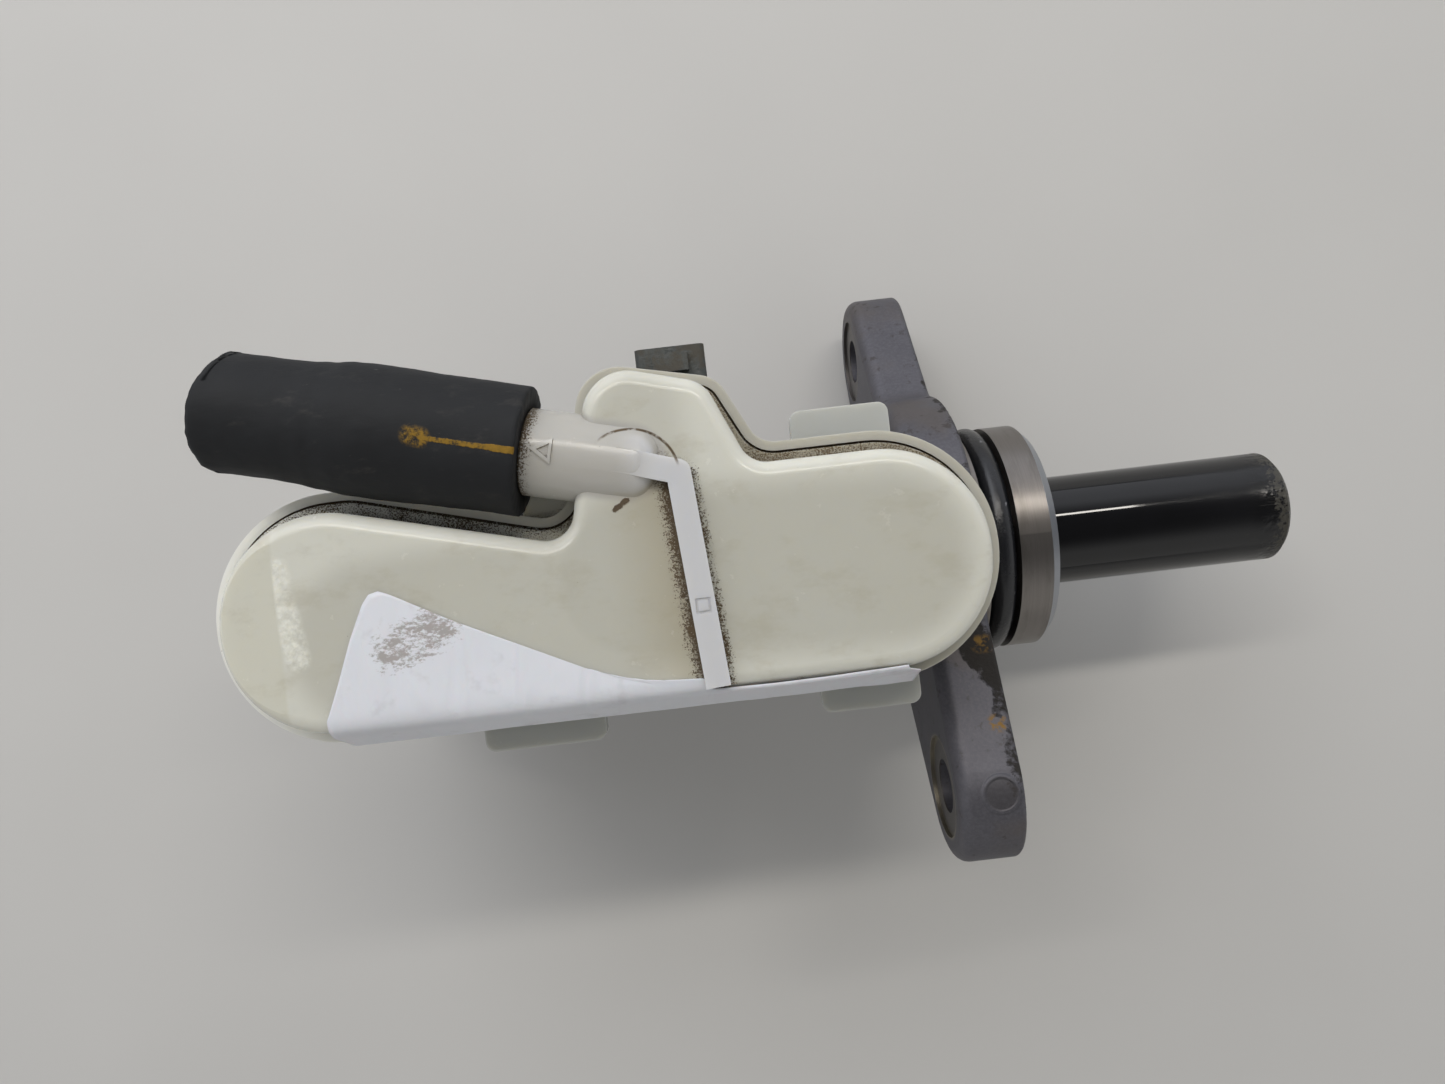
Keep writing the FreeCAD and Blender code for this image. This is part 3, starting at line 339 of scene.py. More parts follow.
    # the mounting face itself: milled, dulled by years against the booster
    milled = addNode(mat, "TexNoise", space, Scale=1 / 11, Detail=4, Roughness=0.6)
    milled = addNode(mat, "Math", milled, 0.7, 0.3, operation="MULTIPLY_ADD")
    milled = addNode(mat, "Math", addNode(mat, "MapRange", x, 0.15, 0.05), milled, operation="MULTIPLY")
    bright = addNode(mat, "Mix", milled, bright, castSet["milled"])
    bright = addNode(mat, "Mix", addNode(mat, "MapRange", x, 13.7, 13.9), bright, castSet["chamfer"])
    colour = addNode(mat, "Mix", turnedZone, skin, bright)
    colour = addNode(mat, "Mix", addNode(mat, "Math", spot, 0.7, operation="MULTIPLY"), colour,
                     castSet["spotFace"])
    colour = addNode(mat, "Mix", rubbedRim, colour, castSet["spotRing"])
    connect(mat, colour, shader, "Base Color")
    bare = addNode(mat, "Math", spot, 0.5, operation="MULTIPLY")
    bare = addNode(mat, "Math", turnedZone, bare, operation="MAXIMUM")
    clean = addNode(mat, "Math", dirty, -0.6, 0.62, operation="MULTIPLY_ADD")
    connect(mat, addNode(mat, "Math", bare, 0.33, clean, operation="MULTIPLY_ADD"), shader, "Metallic")
    castRough = addNode(mat, "Math", grain, 0.2, 0.43, operation="MULTIPLY_ADD")
    castRough = addNode(mat, "Math", dirty, 0.35, castRough, operation="MULTIPLY_ADD")
    turnedRough = addNode(mat, "Math", toolLines, 0.14, 0.27, operation="MULTIPLY_ADD")
    roughness = addNode(mat, "Mix", bare, castRough, turnedRough, data_type="FLOAT")
    connect(mat, roughness, shader, "Roughness")
    # sand grain on the cast skin, fine grooves on the turned faces, crust where it is dirty
    height = addNode(mat, "Math", toolLines, 0.12, operation="MULTIPLY")
    height = addNode(mat, "Mix", bare, grain, height, data_type="FLOAT")
    normal = addNode(mat, "Bump", Height=height, Distance=0.05 * mm, Strength=0.55)
    cast = addNode(mat, "Math", 1.0, turnedZone, operation="SUBTRACT")
    unevenness = addNode(mat, "Math", blotch, cast, operation="MULTIPLY")
    normal = addNode(mat, "Bump", Height=unevenness,
                     Distance=0.3 * mm, Strength=0.3, Normal=normal)
    normal = addNode(mat, "Bump", Height=ring, Distance=0.22 * mm, Strength=0.9, Normal=normal)
    crust = addNode(mat, "TexNoise", space, Scale=1 / 0.9, Detail=4, Roughness=0.7)
    crust = addNode(mat, "Math", dirty, crust, operation="MULTIPLY")
    normal = addNode(mat, "Bump", Height=crust, Distance=0.5 * mm, Strength=0.7, Normal=normal)
    connect(mat, normal, shader, "Normal")
    return mat


pistonSet = {"black": "#080808", "worn": "#101013", "scuff": "#4d4a45", "chip": "#47443b", "ior": 1.5,
             "wornFrom": 28, "chippedFrom": 54.0, "chippedTo": 61.6}


def anodisedBlack():
    # Hard-anodised and honed piston: black, glassy, fine length scuffs that grow towards the free end.
    mat, shader, space = newMaterial("hardAnodisedBlack")
    x = addNode(mat, "SeparateXYZ", space)
    scuffs = addNode(mat, "VectorMath", space, (0.22, 2.6, 2.6), operation="MULTIPLY")
    scuffs = addNode(mat, "TexNoise", scuffs, Scale=1.0, Detail=5, Roughness=0.7)
    worn = addNode(mat, "TexNoise", space, Scale=1 / 6.0, Detail=4, Roughness=0.6)
    freeEnd = addNode(mat, "MapRange", x, pistonSet["wornFrom"], 60)
    rim = addNode(mat, "MapRange", x, pistonSet["chippedFrom"], pistonSet["chippedTo"])
    chips = addNode(mat, "TexNoise", space, Scale=1 / 1.1, Detail=4, Roughness=0.7)
    chips = speckle(mat, addNode(mat, "Math", rim, 0.62, operation="MULTIPLY"), chips, 0.98, 1.1)
    rubbed = speckle(mat, addNode(mat, "Math", freeEnd, 0.3, operation="MULTIPLY"), scuffs, 0.86, 1.02)
    colour = addNode(mat, "Mix", worn, pistonSet["black"], pistonSet["worn"])
    colour = addNode(mat, "Mix", addNode(mat, "Math", rubbed, 0.3, operation="MULTIPLY"), colour,
                     pistonSet["scuff"])
    colour = addNode(mat, "Mix", addNode(mat, "Math", chips, 0.6, operation="MULTIPLY"), colour,
                     pistonSet["chip"])
    connect(mat, colour, shader, "Base Color")
    rough = addNode(mat, "Math", scuffs, 0.06, 0.01, operation="MULTIPLY_ADD")
    rough = addNode(mat, "Math", freeEnd, 0.16, rough, operation="MULTIPLY_ADD")
    connect(mat, addNode(mat, "Math", chips, 0.3, rough, operation="MULTIPLY_ADD"), shader, "Roughness")
    shader.inputs["IOR"].default_value = pistonSet["ior"]
    height = addNode(mat, "Math", scuffs, freeEnd, operation="MULTIPLY")
    normal = addNode(mat, "Bump", Height=height, Distance=0.03 * mm, Strength=0.5)
    dents = addNode(mat, "TexNoise", space, Scale=1 / 2.6, Roughness=0.6)
    dents = addNode(mat, "Math", rim, dents, operation="MULTIPLY")
    connect(mat, addNode(mat, "Bump", Height=dents, Distance=0.9 * mm, Strength=0.6, Normal=normal), shader,
            "Normal")
    return mat


metalSet = {"guideGroove": "#8f8c88", "guideRidge": "#bcb9b4", "platedLight": "#a5a29a",
            "platedDark": "#77746d", "platedRoughness": 0.3, "springLight": "#8a8885",
            "springDark": "#55534f", "springRoughness": 0.32, "oilSpot": "#4c4034", "brass": "#c9a65a",
            "tarnish": "#7a5c30", "ferriteDark": "#232325", "ferriteLight": "#3c3b3d", "bareMetallic": 0.95}


def turnedAluminium():
    # Turned guide bush: bright warm grey with fine lathe rings.
    mat, shader, space = newMaterial("turnedAluminium")
    rings = addNode(mat, "VectorMath", space, (6.0, 0.1, 0.1), operation="MULTIPLY")
    rings = addNode(mat, "TexNoise", rings, Scale=1.0, Roughness=0.6)
    connect(mat, addNode(mat, "Mix", rings, metalSet["guideGroove"], metalSet["guideRidge"]), shader,
            "Base Color")
    connect(mat, addNode(mat, "Math", rings, 0.2, 0.25, operation="MULTIPLY_ADD"), shader, "Roughness")
    shader.inputs["Metallic"].default_value = metalSet["bareMetallic"]
    connect(mat, addNode(mat, "Bump", Height=rings, Distance=0.02 * mm, Strength=0.5), shader, "Normal")
    return mat


def drawnSteel(name, light, dark, roughness):
    # Drawn or stamped steel with a thin oil film: streaks along the work, small dull spots.
    mat, shader, space = newMaterial(name)
    streaks = addNode(mat, "VectorMath", space, (0.5, 3.0, 3.0), operation="MULTIPLY")
    streaks = addNode(mat, "TexNoise", streaks, Scale=1.0, Detail=4, Roughness=0.6)
    spots = addNode(mat, "TexNoise", space, Scale=1 / 1.1, Roughness=0.6)
    spots = addNode(mat, "MapRange", spots, 0.58, 0.7, 0.0, 0.6)
    colour = addNode(mat, "Mix", spots, addNode(mat, "Mix", streaks, dark, light), metalSet["oilSpot"])
    connect(mat, colour, shader, "Base Color")
    connect(mat, addNode(mat, "Math", spots, 0.3, roughness, operation="MULTIPLY_ADD"), shader, "Roughness")
    shader.inputs["Metallic"].default_value = metalSet["bareMetallic"]
    connect(mat, addNode(mat, "Bump", Height=streaks, Distance=0.02 * mm, Strength=0.4), shader, "Normal")
    return mat


def turnedBrass():
    # Pressed-in brass seats and contact blades: yellow metal with dull brown tarnish.
    mat, shader, space = newMaterial("turnedBrass")
    tarnish = addNode(mat, "TexNoise", space, Scale=1 / 1.8, Detail=4, Roughness=0.6)
    tarnish = addNode(mat, "MapRange", tarnish, 0.42, 0.66)
    connect(mat, addNode(mat, "Mix", tarnish, metalSet["brass"], metalSet["tarnish"]), shader, "Base Color")
    connect(mat, addNode(mat, "Math", tarnish, 0.3, 0.24, operation="MULTIPLY_ADD"), shader, "Roughness")
    shader.inputs["Metallic"].default_value = metalSet["bareMetallic"]
    dulled = addNode(mat, "TexNoise", space, Scale=1 / 0.5)
    connect(mat, addNode(mat, "Bump", Height=dulled, Distance=0.02 * mm, Strength=0.4), shader, "Normal")
    return mat


def sinteredMagnet():
    # Sintered ferrite: dull charcoal with a granular face.
    mat, shader, space = newMaterial("sinteredFerrite")
    grit = addNode(mat, "TexNoise", space, Scale=1 / 0.5, Detail=4, Roughness=0.7)
    connect(mat, addNode(mat, "Mix", grit, metalSet["ferriteDark"], metalSet["ferriteLight"]), shader,
            "Base Color")
    shader.inputs["Roughness"].default_value = 0.6
    shader.inputs["Metallic"].default_value = 0.3
    connect(mat, addNode(mat, "Bump", Height=grit, Distance=0.05 * mm, Strength=0.5), shader, "Normal")
    return mat


blackPiston = anodisedBlack()
platedSteel = drawnSteel("platedSteel", metalSet["platedLight"], metalSet["platedDark"],
                         metalSet["platedRoughness"])
springSteel = drawnSteel("springSteel", metalSet["springLight"], metalSet["springDark"],
                         metalSet["springRoughness"])
brass = turnedBrass()
metalOf = {"cylinder_body": castAluminium(), "primary_piston": blackPiston, "secondary_piston": blackPiston,
           "piston_guide": turnedAluminium(), "spring_retainer": platedSteel, "retainer_screw": platedSteel,
           "snap_ring": springSteel, "reservoir_pin": springSteel, "port_seats": brass,
           "sensor_terminals": brass, "float_magnet": sinteredMagnet()}
for nodeName, metal in metalOf.items():
    dress(nodeName, metal)
print("metals done")


sealSet = {"black": "#1b1c1f", "lint": "#84868c", "linty": (5.2, 6.4)}


def nitrileRubber():
    # Moulded nitrile seals: black, slightly greasy sheen, lint and pale scuffs on the crown.
    mat, shader, space = newMaterial("nitrileRubber")
    lint = addNode(mat, "VectorMath", space, (1.0, 0.5, 0.5), operation="MULTIPLY")
    lint = addNode(mat, "TexNoise", lint, Scale=1 / 0.9, Detail=5, Roughness=0.7)
    lint = addNode(mat, "MapRange", lint, 0.62, 0.7)
    rearHalf = addNode(mat, "MapRange", addNode(mat, "SeparateXYZ", space), *sealSet["linty"])
    lint = addNode(mat, "Math", lint, addNode(mat, "Math", rearHalf, 0.6, 0.15, operation="MULTIPLY_ADD"),
                   operation="MULTIPLY")
    connect(mat, addNode(mat, "Mix", lint, sealSet["black"], sealSet["lint"]), shader, "Base Color")
    greasy = addNode(mat, "TexNoise", space, Scale=1 / 2.5, Roughness=0.6)
    connect(mat, addNode(mat, "Math", greasy, 0.3, 0.08, operation="MULTIPLY_ADD"), shader, "Roughness")
    mouldSkin = addNode(mat, "TexNoise", space, Scale=1 / 0.8, Detail=4, Roughness=0.7)
    connect(mat, addNode(mat, "Bump", Height=mouldSkin, Distance=0.12 * mm, Strength=0.5), shader, "Normal")
    return mat


plasticSet = {"body": "#bbbbb2", "yellowed": "#bab8ab", "edge": "#d6d6cc", "pale": "#e2e2da",
              "rimLitLeft": "#e2e2da", "rimRight": "#b0aea4", "lower": "#b6b8b4", "facet": "#c6c4b4",
              "wedge": "#e6e6dc", "stain": "#a8a28e", "liftedFlange": "#f0f0e8", "ribFilm": "#a2977a",
              "dryDirt": "#6a583e", "spoutEnd": (-54.5, 14.5), "rib": "#c7c8ca", "nipple": "#b5b3ad",
              "dustAndShade": "#3b3023", "film": "#8d8674",
              "hollows": (((-56, 0.5), (-21, -0.5), 9.0, 15.0, 1.0),
                          ((-92, -4.0), (-60, -3.0), 9.0, 14.0, 0.85),
                          ((-53, 4.0), (-53, 24.0), 3.0, 9.0, 0.7)),
              "ribStart": (-48.0, 14.4), "ribEnd": (-45.9, -15.2)}


def ribDust(mat, space, x, y, z, drift, pepper):
    # brown film and peppery dust beside the raised strip, wider and thicker on its front side
    away = distanceFromRun(mat, space, (*plasticSet["ribStart"], 56.0), (*plasticSet["ribEnd"], 56.0))
    side = addNode(mat, "Math", x, 46.95, operation="ADD")
    side = addNode(mat, "Math", y, 0.071, side, operation="MULTIPLY_ADD")
    front = addNode(mat, "MapRange", side, 0.5, -0.5)
    reach = addNode(mat, "Math", front, 1.6, 2.9, operation="MULTIPLY_ADD")
    out = addNode(mat, "Math", away, 1.6, operation="SUBTRACT")
    out = addNode(mat, "Math", out, reach, operation="DIVIDE")
    onTop = addNode(mat, "MapRange", z, 56.7, 56.3)
    onTop = addNode(mat, "Math", onTop, addNode(mat, "MapRange", y, 17.5, 14.0), operation="MULTIPLY")
    near = addNode(mat, "Math", addNode(mat, "MapRange", out, 1.0, 0.0), onTop, operation="MULTIPLY")
    packed = addNode(mat, "Math", onTop, front, operation="MULTIPLY")
    packed = addNode(mat, "Math", addNode(mat, "MapRange", out, 0.3, 0.02), packed, operation="MULTIPLY")
    thick = addNode(mat, "Math", front, 0.06, 0.22, operation="MULTIPLY_ADD")
    thick = addNode(mat, "Math", drift, 0.45, thick, operation="MULTIPLY_ADD")
    dust = speckle(mat, addNode(mat, "Math", near, thick, operation="MULTIPLY"), pepper, 0.86, 0.95)
    heaps = addNode(mat, "MapRange", drift, 0.3, 0.5, 0.35, 0.95)
    packed = addNode(mat, "Math", packed, heaps, operation="MULTIPLY")
    dust = addNode(mat, "Math", dust, packed, operation="MAXIMUM")
    film = addNode(mat, "Math", onTop, front, operation="MULTIPLY")
    film = addNode(mat, "Math", addNode(mat, "MapRange", out, 2.7, 0.0), film, operation="MULTIPLY")
    return dust, film


def reservoirPlastic(name, isUpper):
    # Injection-moulded natural polypropylene, aged: ivory with a green cast, waxy, lets light a few mm in.
    # Brake dust lies in every corner that a wipe misses; the occlusion mask that lays it also paints shade
    # into the corners.
    mat, shader, space = newMaterial(name)
    x, y, z = addNode(mat, "SeparateXYZ", space).node.outputs
    tone = addNode(mat, "TexNoise", space, Scale=1 / 26)
    colour = addNode(mat, "Mix", tone, plasticSet["body"], plasticSet["yellowed"])
    # dust grain, coarsened from 0.1 mm to show
    pepper = addNode(mat, "TexNoise", space, Scale=1 / 0.26, Roughness=0.75)
    drift = addNode(mat, "TexNoise", space, Scale=1 / 6.0, Roughness=0.6)
    upperSide = addNode(mat, "MapRange", y, 2.0, 12.0)
    shine = addNode(mat, "TexNoise", space, Scale=1 / 3.0, Detail=4, Roughness=0.7)
    if isUpper:
        lowFlange = addNode(mat, "MapRange", z, 46.4, 46.1)
        raised = addNode(mat, "MapRange", z, 56.5, 57.4)
        # painted light through the thin skin: greyer over the open chamber, lighter where the walls stand
        # close below it
        hollow = None
        for start, end, near, far, weight in plasticSet["hollows"]:
            one = distanceFromRun(mat, space, (*start, 56.0), (*end, 56.0))
            one = addNode(mat, "MapRange", one, far, near, 0.0, weight)
            hollow = one if hollow is None else addNode(mat, "Math", hollow, one, operation="MAXIMUM")
        lightOverWalls = addNode(mat, "Math", 1.0, hollow, operation="SUBTRACT")
        colour = addNode(mat, "Mix", addNode(mat, "Math", lightOverWalls, 0.8, operation="MULTIPLY"), colour,
                         plasticSet["edge"])
        # painted light: paler where the skin turns down to the walls, as if lit from both sides
        normals = addNode(mat, "NewGeometry").node.outputs["Normal"]
        facing = addNode(mat, "SeparateXYZ", normals).node.outputs[2]
        litTurnDown = addNode(mat, "MapRange", facing, 0.99, 0.8)
        litTurnDown = addNode(mat, "Math", litTurnDown, addNode(mat, "MapRange", z, 46.5, 48.0),
                           operation="MULTIPLY")
        colour = addNode(mat, "Mix", addNode(mat, "Math", litTurnDown, 0.25, operation="MULTIPLY"), colour,
                         plasticSet["pale"])
        # painted light on the moulded facet at the front end: the facet lighter, and a painted highlight on
        # a pebbled wedge where it meets the flat
        facet = addNode(mat, "MapRange", x, -104.4, -105.0)
        facet = addNode(mat, "Math", facet, addNode(mat, "MapRange", z, 55.0, 55.6), operation="MULTIPLY")
        colour = addNode(mat, "Mix", addNode(mat, "Math", facet, 0.5, operation="MULTIPLY"), colour,
                         plasticSet["facet"])
        wedge = distanceFromRun(mat, space, (-104.4, 7.5, 56.0), (-102.6, -5.0, 56.0))
        wedge = addNode(mat, "MapRange", wedge, 2.2, 1.0)
        onFlat = addNode(mat, "Math", addNode(mat, "MapRange", x, -105.1, -104.6),
                         addNode(mat, "MapRange", z, 55.5, 55.9), operation="MULTIPLY")
        wedge = addNode(mat, "Math", wedge, onFlat, operation="MULTIPLY")
        pebbled = addNode(mat, "TexNoise", space, Scale=1 / 1.3, Roughness=0.7)
        pebbled = addNode(mat, "MapRange", pebbled, 0.3, 0.7, 0.1, 0.9)
        colour = addNode(mat, "Mix", addNode(mat, "Math", wedge, pebbled, operation="MULTIPLY"), colour,
                         plasticSet["wedge"])
        # faint wiped stains
        wiped = addNode(mat, "VectorMath", space, (1.0, 1.7, 1.0), operation="MULTIPLY")
        wiped = addNode(mat, "TexNoise", wiped, Scale=1 / 9.0, Detail=5, Roughness=0.65)
        wiped = addNode(mat, "MapRange", wiped, 0.5, 0.72, 0.0, 0.35)
        colour = addNode(mat, "Mix", wiped, colour, plasticSet["stain"])
        # bluer, cleaner raised strip; the spout keeps the body colour
        nearSpout = distanceFromRun(mat, space, (-54.8, 16.6, 52.0), (-70.0, 20.4, 52.0))
        nearSpout = addNode(mat, "MapRange", nearSpout, 7.2, 6.3)
        colour = addNode(mat, "Mix", nearSpout, colour, plasticSet["nipple"])
        strip = addNode(mat, "Math", raised, addNode(mat, "MapRange", x, -57, -50), operation="MULTIPLY")
        colour = addNode(mat, "Mix", strip, colour, plasticSet["rib"])
        ribDirt, ribFilm = ribDust(mat, space, x, y, z, drift, pepper)
        colour = addNode(mat, "Mix", addNode(mat, "Math", ribFilm, 0.5, operation="MULTIPLY"), colour,
                         plasticSet["ribFilm"])
        # painted light: the low flange made lighter towards the left end, against the hose's shadow
        liftedLeft = addNode(mat, "MapRange", x, -60, -78, 0.0, 0.8)
        liftedLeft = addNode(mat, "Math", lowFlange, liftedLeft, operation="MULTIPLY")
        colour = addNode(mat, "Mix", liftedLeft, colour, plasticSet["liftedFlange"])
        film = addNode(mat, "MapRange", x, -75, -55)
        film = addNode(mat, "Math", film, 0.75, 0.1, operation="MULTIPLY_ADD")
        film = addNode(mat, "Math", lowFlange, film, operation="MULTIPLY")
        colour = addNode(mat, "Mix", film, colour, plasticSet["film"])
    else:
        # painted light: the lip lighter towards the left end, against the hose's shadow; greyer towards the
        # right
        rim = addNode(mat, "MapRange", x, -78, -58)
        rim = addNode(mat, "Mix", rim, plasticSet["rimLitLeft"], plasticSet["rimRight"])
        colour = addNode(mat, "Mix", addNode(mat, "MapRange", z, 41.5, 42.6), plasticSet["lower"], rim)
    # dust and painted shade in corners, laid on by ambient occlusion, thicker on the side the nipple is on
    occludedShade = addNode(mat, "AmbientOcclusion", Distance=2.6 * mm, samples=6).node.outputs["AO"]
    corner = addNode(mat, "MapRange", occludedShade, 0.72, 0.36)
    amount = addNode(mat, "Math", drift, 0.5, 0.1, operation="MULTIPLY_ADD")
    amount = addNode(mat, "Math", upperSide, 0.26, amount, operation="MULTIPLY_ADD")
    dustAndShade = speckle(mat, addNode(mat, "Math", corner, amount, operation="MULTIPLY"), pepper, 0.92, 1.02)
    if isUpper:
        dustAndShade = addNode(mat, "Math", dustAndShade, ribDirt, operation="MAXIMUM")
        # the trough beside the rim
        trough = addNode(mat, "Math", upperSide, 0.3, 0.05, operation="MULTIPLY_ADD")
        trough = addNode(mat, "Math", lowFlange, trough, operation="MULTIPLY")
        patchy = addNode(mat, "Math", drift, 1.1, 0.3, operation="MULTIPLY_ADD")
        trough = addNode(mat, "Math", trough, patchy, operation="MULTIPLY")
        dustAndShade = addNode(mat, "Math", dustAndShade, speckle(mat, trough, pepper, 0.76, 0.86), operation="MAXIMUM")
        # hairline of dirt where the spout's end meets the top, and a small dark smear below it
        centre = plasticSet["spoutEnd"]
        fromEnd = distanceFromRun(mat, space, (*centre, 50.0), (*centre, 65.0))
        hairline = addNode(mat, "Math", fromEnd, 6.6, operation="SUBTRACT")
        hairline = addNode(mat, "Math", hairline, operation="ABSOLUTE")
        hairline = addNode(mat, "MapRange", hairline, 0.3, 0.08)
        corner = addNode(mat, "Math", addNode(mat, "MapRange", y, 15.0, 16.5),
                         addNode(mat, "MapRange", x, -59.0, -57.0), operation="MULTIPLY")
        hairline = addNode(mat, "Math", hairline, corner, operation="MULTIPLY")
        broken = addNode(mat, "MapRange", addNode(mat, "TexNoise", space, Scale=1 / 1.5), 0.32, 0.5)
        hairline = addNode(mat, "Math", hairline, broken, operation="MULTIPLY")
        dustAndShade = addNode(mat, "Math", dustAndShade, hairline, operation="MAXIMUM")
        smearDistance = distanceFromRun(mat, space, (-57.3, 10.3, 56.0), (-55.5, 11.5, 56.0))
        smearDistance = addNode(mat, "Math", addNode(mat, "TexNoise", space, Scale=1 / 0.9, Roughness=0.6),
                                0.9, smearDistance, operation="MULTIPLY_ADD")
        smear = addNode(mat, "MapRange", smearDistance, 0.95, 0.75)
        dustAndShade = addNode(mat, "Math", dustAndShade, smear, operation="MAXIMUM")
        # crumbs on the spout next to the hose
        along = addNode(mat, "Math", y, 0.2419, -65.02, operation="MULTIPLY_ADD")
        along = addNode(mat, "Math", x, -0.9703, along, operation="MULTIPLY_ADD")
        crumbs = addNode(mat, "Math", drift, 0.5, 0.22, operation="MULTIPLY_ADD")
        crumbs = addNode(mat, "Math", addNode(mat, "MapRange", along, 2.6, 7.0), crumbs,
                         operation="MULTIPLY")
        crumbs = addNode(mat, "Math", crumbs, nearSpout, operation="MULTIPLY")
        dustAndShade = addNode(mat, "Math", dustAndShade, speckle(mat, crumbs, pepper, 0.86, 0.95), operation="MAXIMUM")
    # stray specks
    specks = addNode(mat, "TexNoise", space, Scale=1 / 0.8, Detail=2, Roughness=0.6)
    specks = addNode(mat, "MapRange", specks, 0.775, 0.8, 0.0, 0.8)
    dustAndShade = addNode(mat, "Math", dustAndShade, specks, operation="MAXIMUM")
    colour = addNode(mat, "Mix", dustAndShade, colour,
                     addNode(mat, "Mix", drift, plasticSet["dustAndShade"], plasticSet["dryDirt"]))
    connect(mat, colour, shader, "Base Color")
    satin = addNode(mat, "Math", shine, 0.2, 0.14, operation="MULTIPLY_ADD")
    connect(mat, addNode(mat, "Math", dustAndShade, 0.45, satin, operation="MULTIPLY_ADD"), shader, "Roughness")
    shader.inputs["IOR"].default_value = 1.49
    shader.inputs["Subsurface Weight"].default_value = 0.5
    shader.inputs["Subsurface Radius"].default_value = (1.0, 0.9, 0.7)
    shader.inputs["Subsurface Scale"].default_value = 0.003
    normal = addNode(mat, "TexNoise", space, Scale=1 / 7.0, Detail=2)
    normal = addNode(mat, "Bump", Height=normal, Distance=0.25 * mm, Strength=0.25)
    if isUpper:
        pebble = addNode(mat, "TexVoronoi", space, Scale=1 / 0.8)
        pebble = addNode(mat, "Math", pebble, wedge, operation="MULTIPLY")
        normal = addNode(mat, "Bump", Height=pebble, Distance=0.2 * mm, Strength=0.6, Normal=normal)
    crumbly = addNode(mat, "Math", dustAndShade, pepper, operation="MULTIPLY")
    normal = addNode(mat, "Bump", Height=crumbly, Distance=0.3 * mm, Strength=0.5, Normal=normal)
    connect(mat, normal, shader, "Normal")
    return mat


sensorSet = {"dark": "#2e3130", "light": "#444947", "caked": "#4c463b"}


def sensorPlastic():
    # Glass-filled nylon connector: charcoal, dull, with caked brown dust in patches.
    mat, shader, space = newMaterial("glassFilledNylon")
    caked = addNode(mat, "TexNoise", space, Scale=1 / 3.4, Detail=5, Roughness=0.7)
    caked = addNode(mat, "MapRange", caked, 0.44, 0.6)
    base = addNode(mat, "TexNoise", space, Scale=1 / 0.6)
    base = addNode(mat, "Mix", base, sensorSet["dark"], sensorSet["light"])
    connect(mat, addNode(mat, "Mix", addNode(mat, "Math", caked, 0.7, operation="MULTIPLY"), base,
                         sensorSet["caked"]), shader, "Base Color")
    connect(mat, addNode(mat, "Math", caked, 0.35, 0.42, operation="MULTIPLY_ADD"), shader, "Roughness")
    grit = addNode(mat, "TexNoise", space, Scale=1 / 0.7, Detail=4, Roughness=0.7)
    connect(mat, addNode(mat, "Bump", Height=grit, Distance=0.15 * mm, Strength=0.6), shader, "Normal")
    return mat


foamSet = {"light": "#d8cfae", "dark": "#c4b994", "cellMm": 0.6}


def foamedFloat():
    # Foamed nylon float: cream, tiny open cells.
    mat, shader, space = newMaterial("foamedNylon")
    cells = addNode(mat, "TexVoronoi", space, Scale=1 / foamSet["cellMm"])
    connect(mat, addNode(mat, "Mix", addNode(mat, "TexNoise", space, Scale=1 / 3), foamSet["light"],
                         foamSet["dark"]), shader, "Base Color")
    shader.inputs["Roughness"].default_value = 0.7
    connect(mat, addNode(mat, "Bump", Height=cells, Distance=0.1 * mm, Strength=0.6), shader, "Normal")
    return mat


rubber = nitrileRubber()
for sealName in ("spigot_o_ring", "guide_o_ring", "rod_seal", "primary_cup", "separating_cup",
                 "secondary_cup", "rear_grommet", "front_grommet"):
    dress(sealName, rubber)
dress("reservoir_upper", reservoirPlastic("polypropyleneUpper", True))
dress("reservoir_lower", reservoirPlastic("polypropyleneLower", False))
dress("level_sensor", sensorPlastic())
dress("float_body", foamedFloat())
print("rubber and plastics done")


springSet = {
    "primarySpringCoil": {"node": "primary_spring", "body": "secondary_slider", "joint": "primary_stroke",
                          "fromX": -52.0, "toX": 0.0, "turns": 9, "keep": 37 / 52},
    "secondarySpringCoil": {"node": "secondary_spring", "body": "housing", "joint": "secondary_stroke",
                            "fromX": -106.0, "toX": -70.0, "turns": 6, "keep": 23 / 36},
}
wireSet = {"wire": 1.8, "coilR": 5.7, "closedTurns": 1.0, "stepsPerTurn": 40, "around": 12}


def makeSpring(name, fromX, toX, turns, node, body, joint, keep):
    wire, coilR, closed, perTurn, around = wireSet.values()
    start, end = fromX + 0.1 + wire / 2, toX - 0.1 - wire / 2
    verts, faces = [], []
    steps = int((turns + 2 * closed) * perTurn)
    for i in range(steps + 1):
        turn = i / perTurn
        # one dead turn at each end lies nearly flat on its seat
        dead = wire * 0.55
        if turn < closed:
            x = start + dead * turn / closed
        elif turn > turns + closed:
            x = end - dead * (turns + 2 * closed - turn) / closed
        else:
            x = start + dead + (end - start - 2 * dead) * (turn - closed) / turns
        angle = 2 * math.pi * turn
        out = Vector((0, math.cos(angle), math.sin(angle)))
        for k in range(around):
            t = 2 * math.pi * k / around
            onWire = (out * math.cos(t) + Vector((1, 0, 0)) * math.sin(t)) * wire / 2
            verts.append((Vector((x, 0, 0)) + out * coilR + onWire) * mm)
        if i:
            a, b = (i - 1) * around, i * around
            faces += [(a + k, a + (k + 1) % around, b + (k + 1) % around, b + k) for k in range(around)]
    faces += [tuple(range(around)), tuple(reversed(range(steps * around, (steps + 1) * around)))]
    coil = pieceFrom(name, verts, faces, springSteel, body)
    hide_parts(node)
    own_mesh(coil)


for springName, spec in springSet.items():
    makeSpring(springName, **spec)
print("springs done")


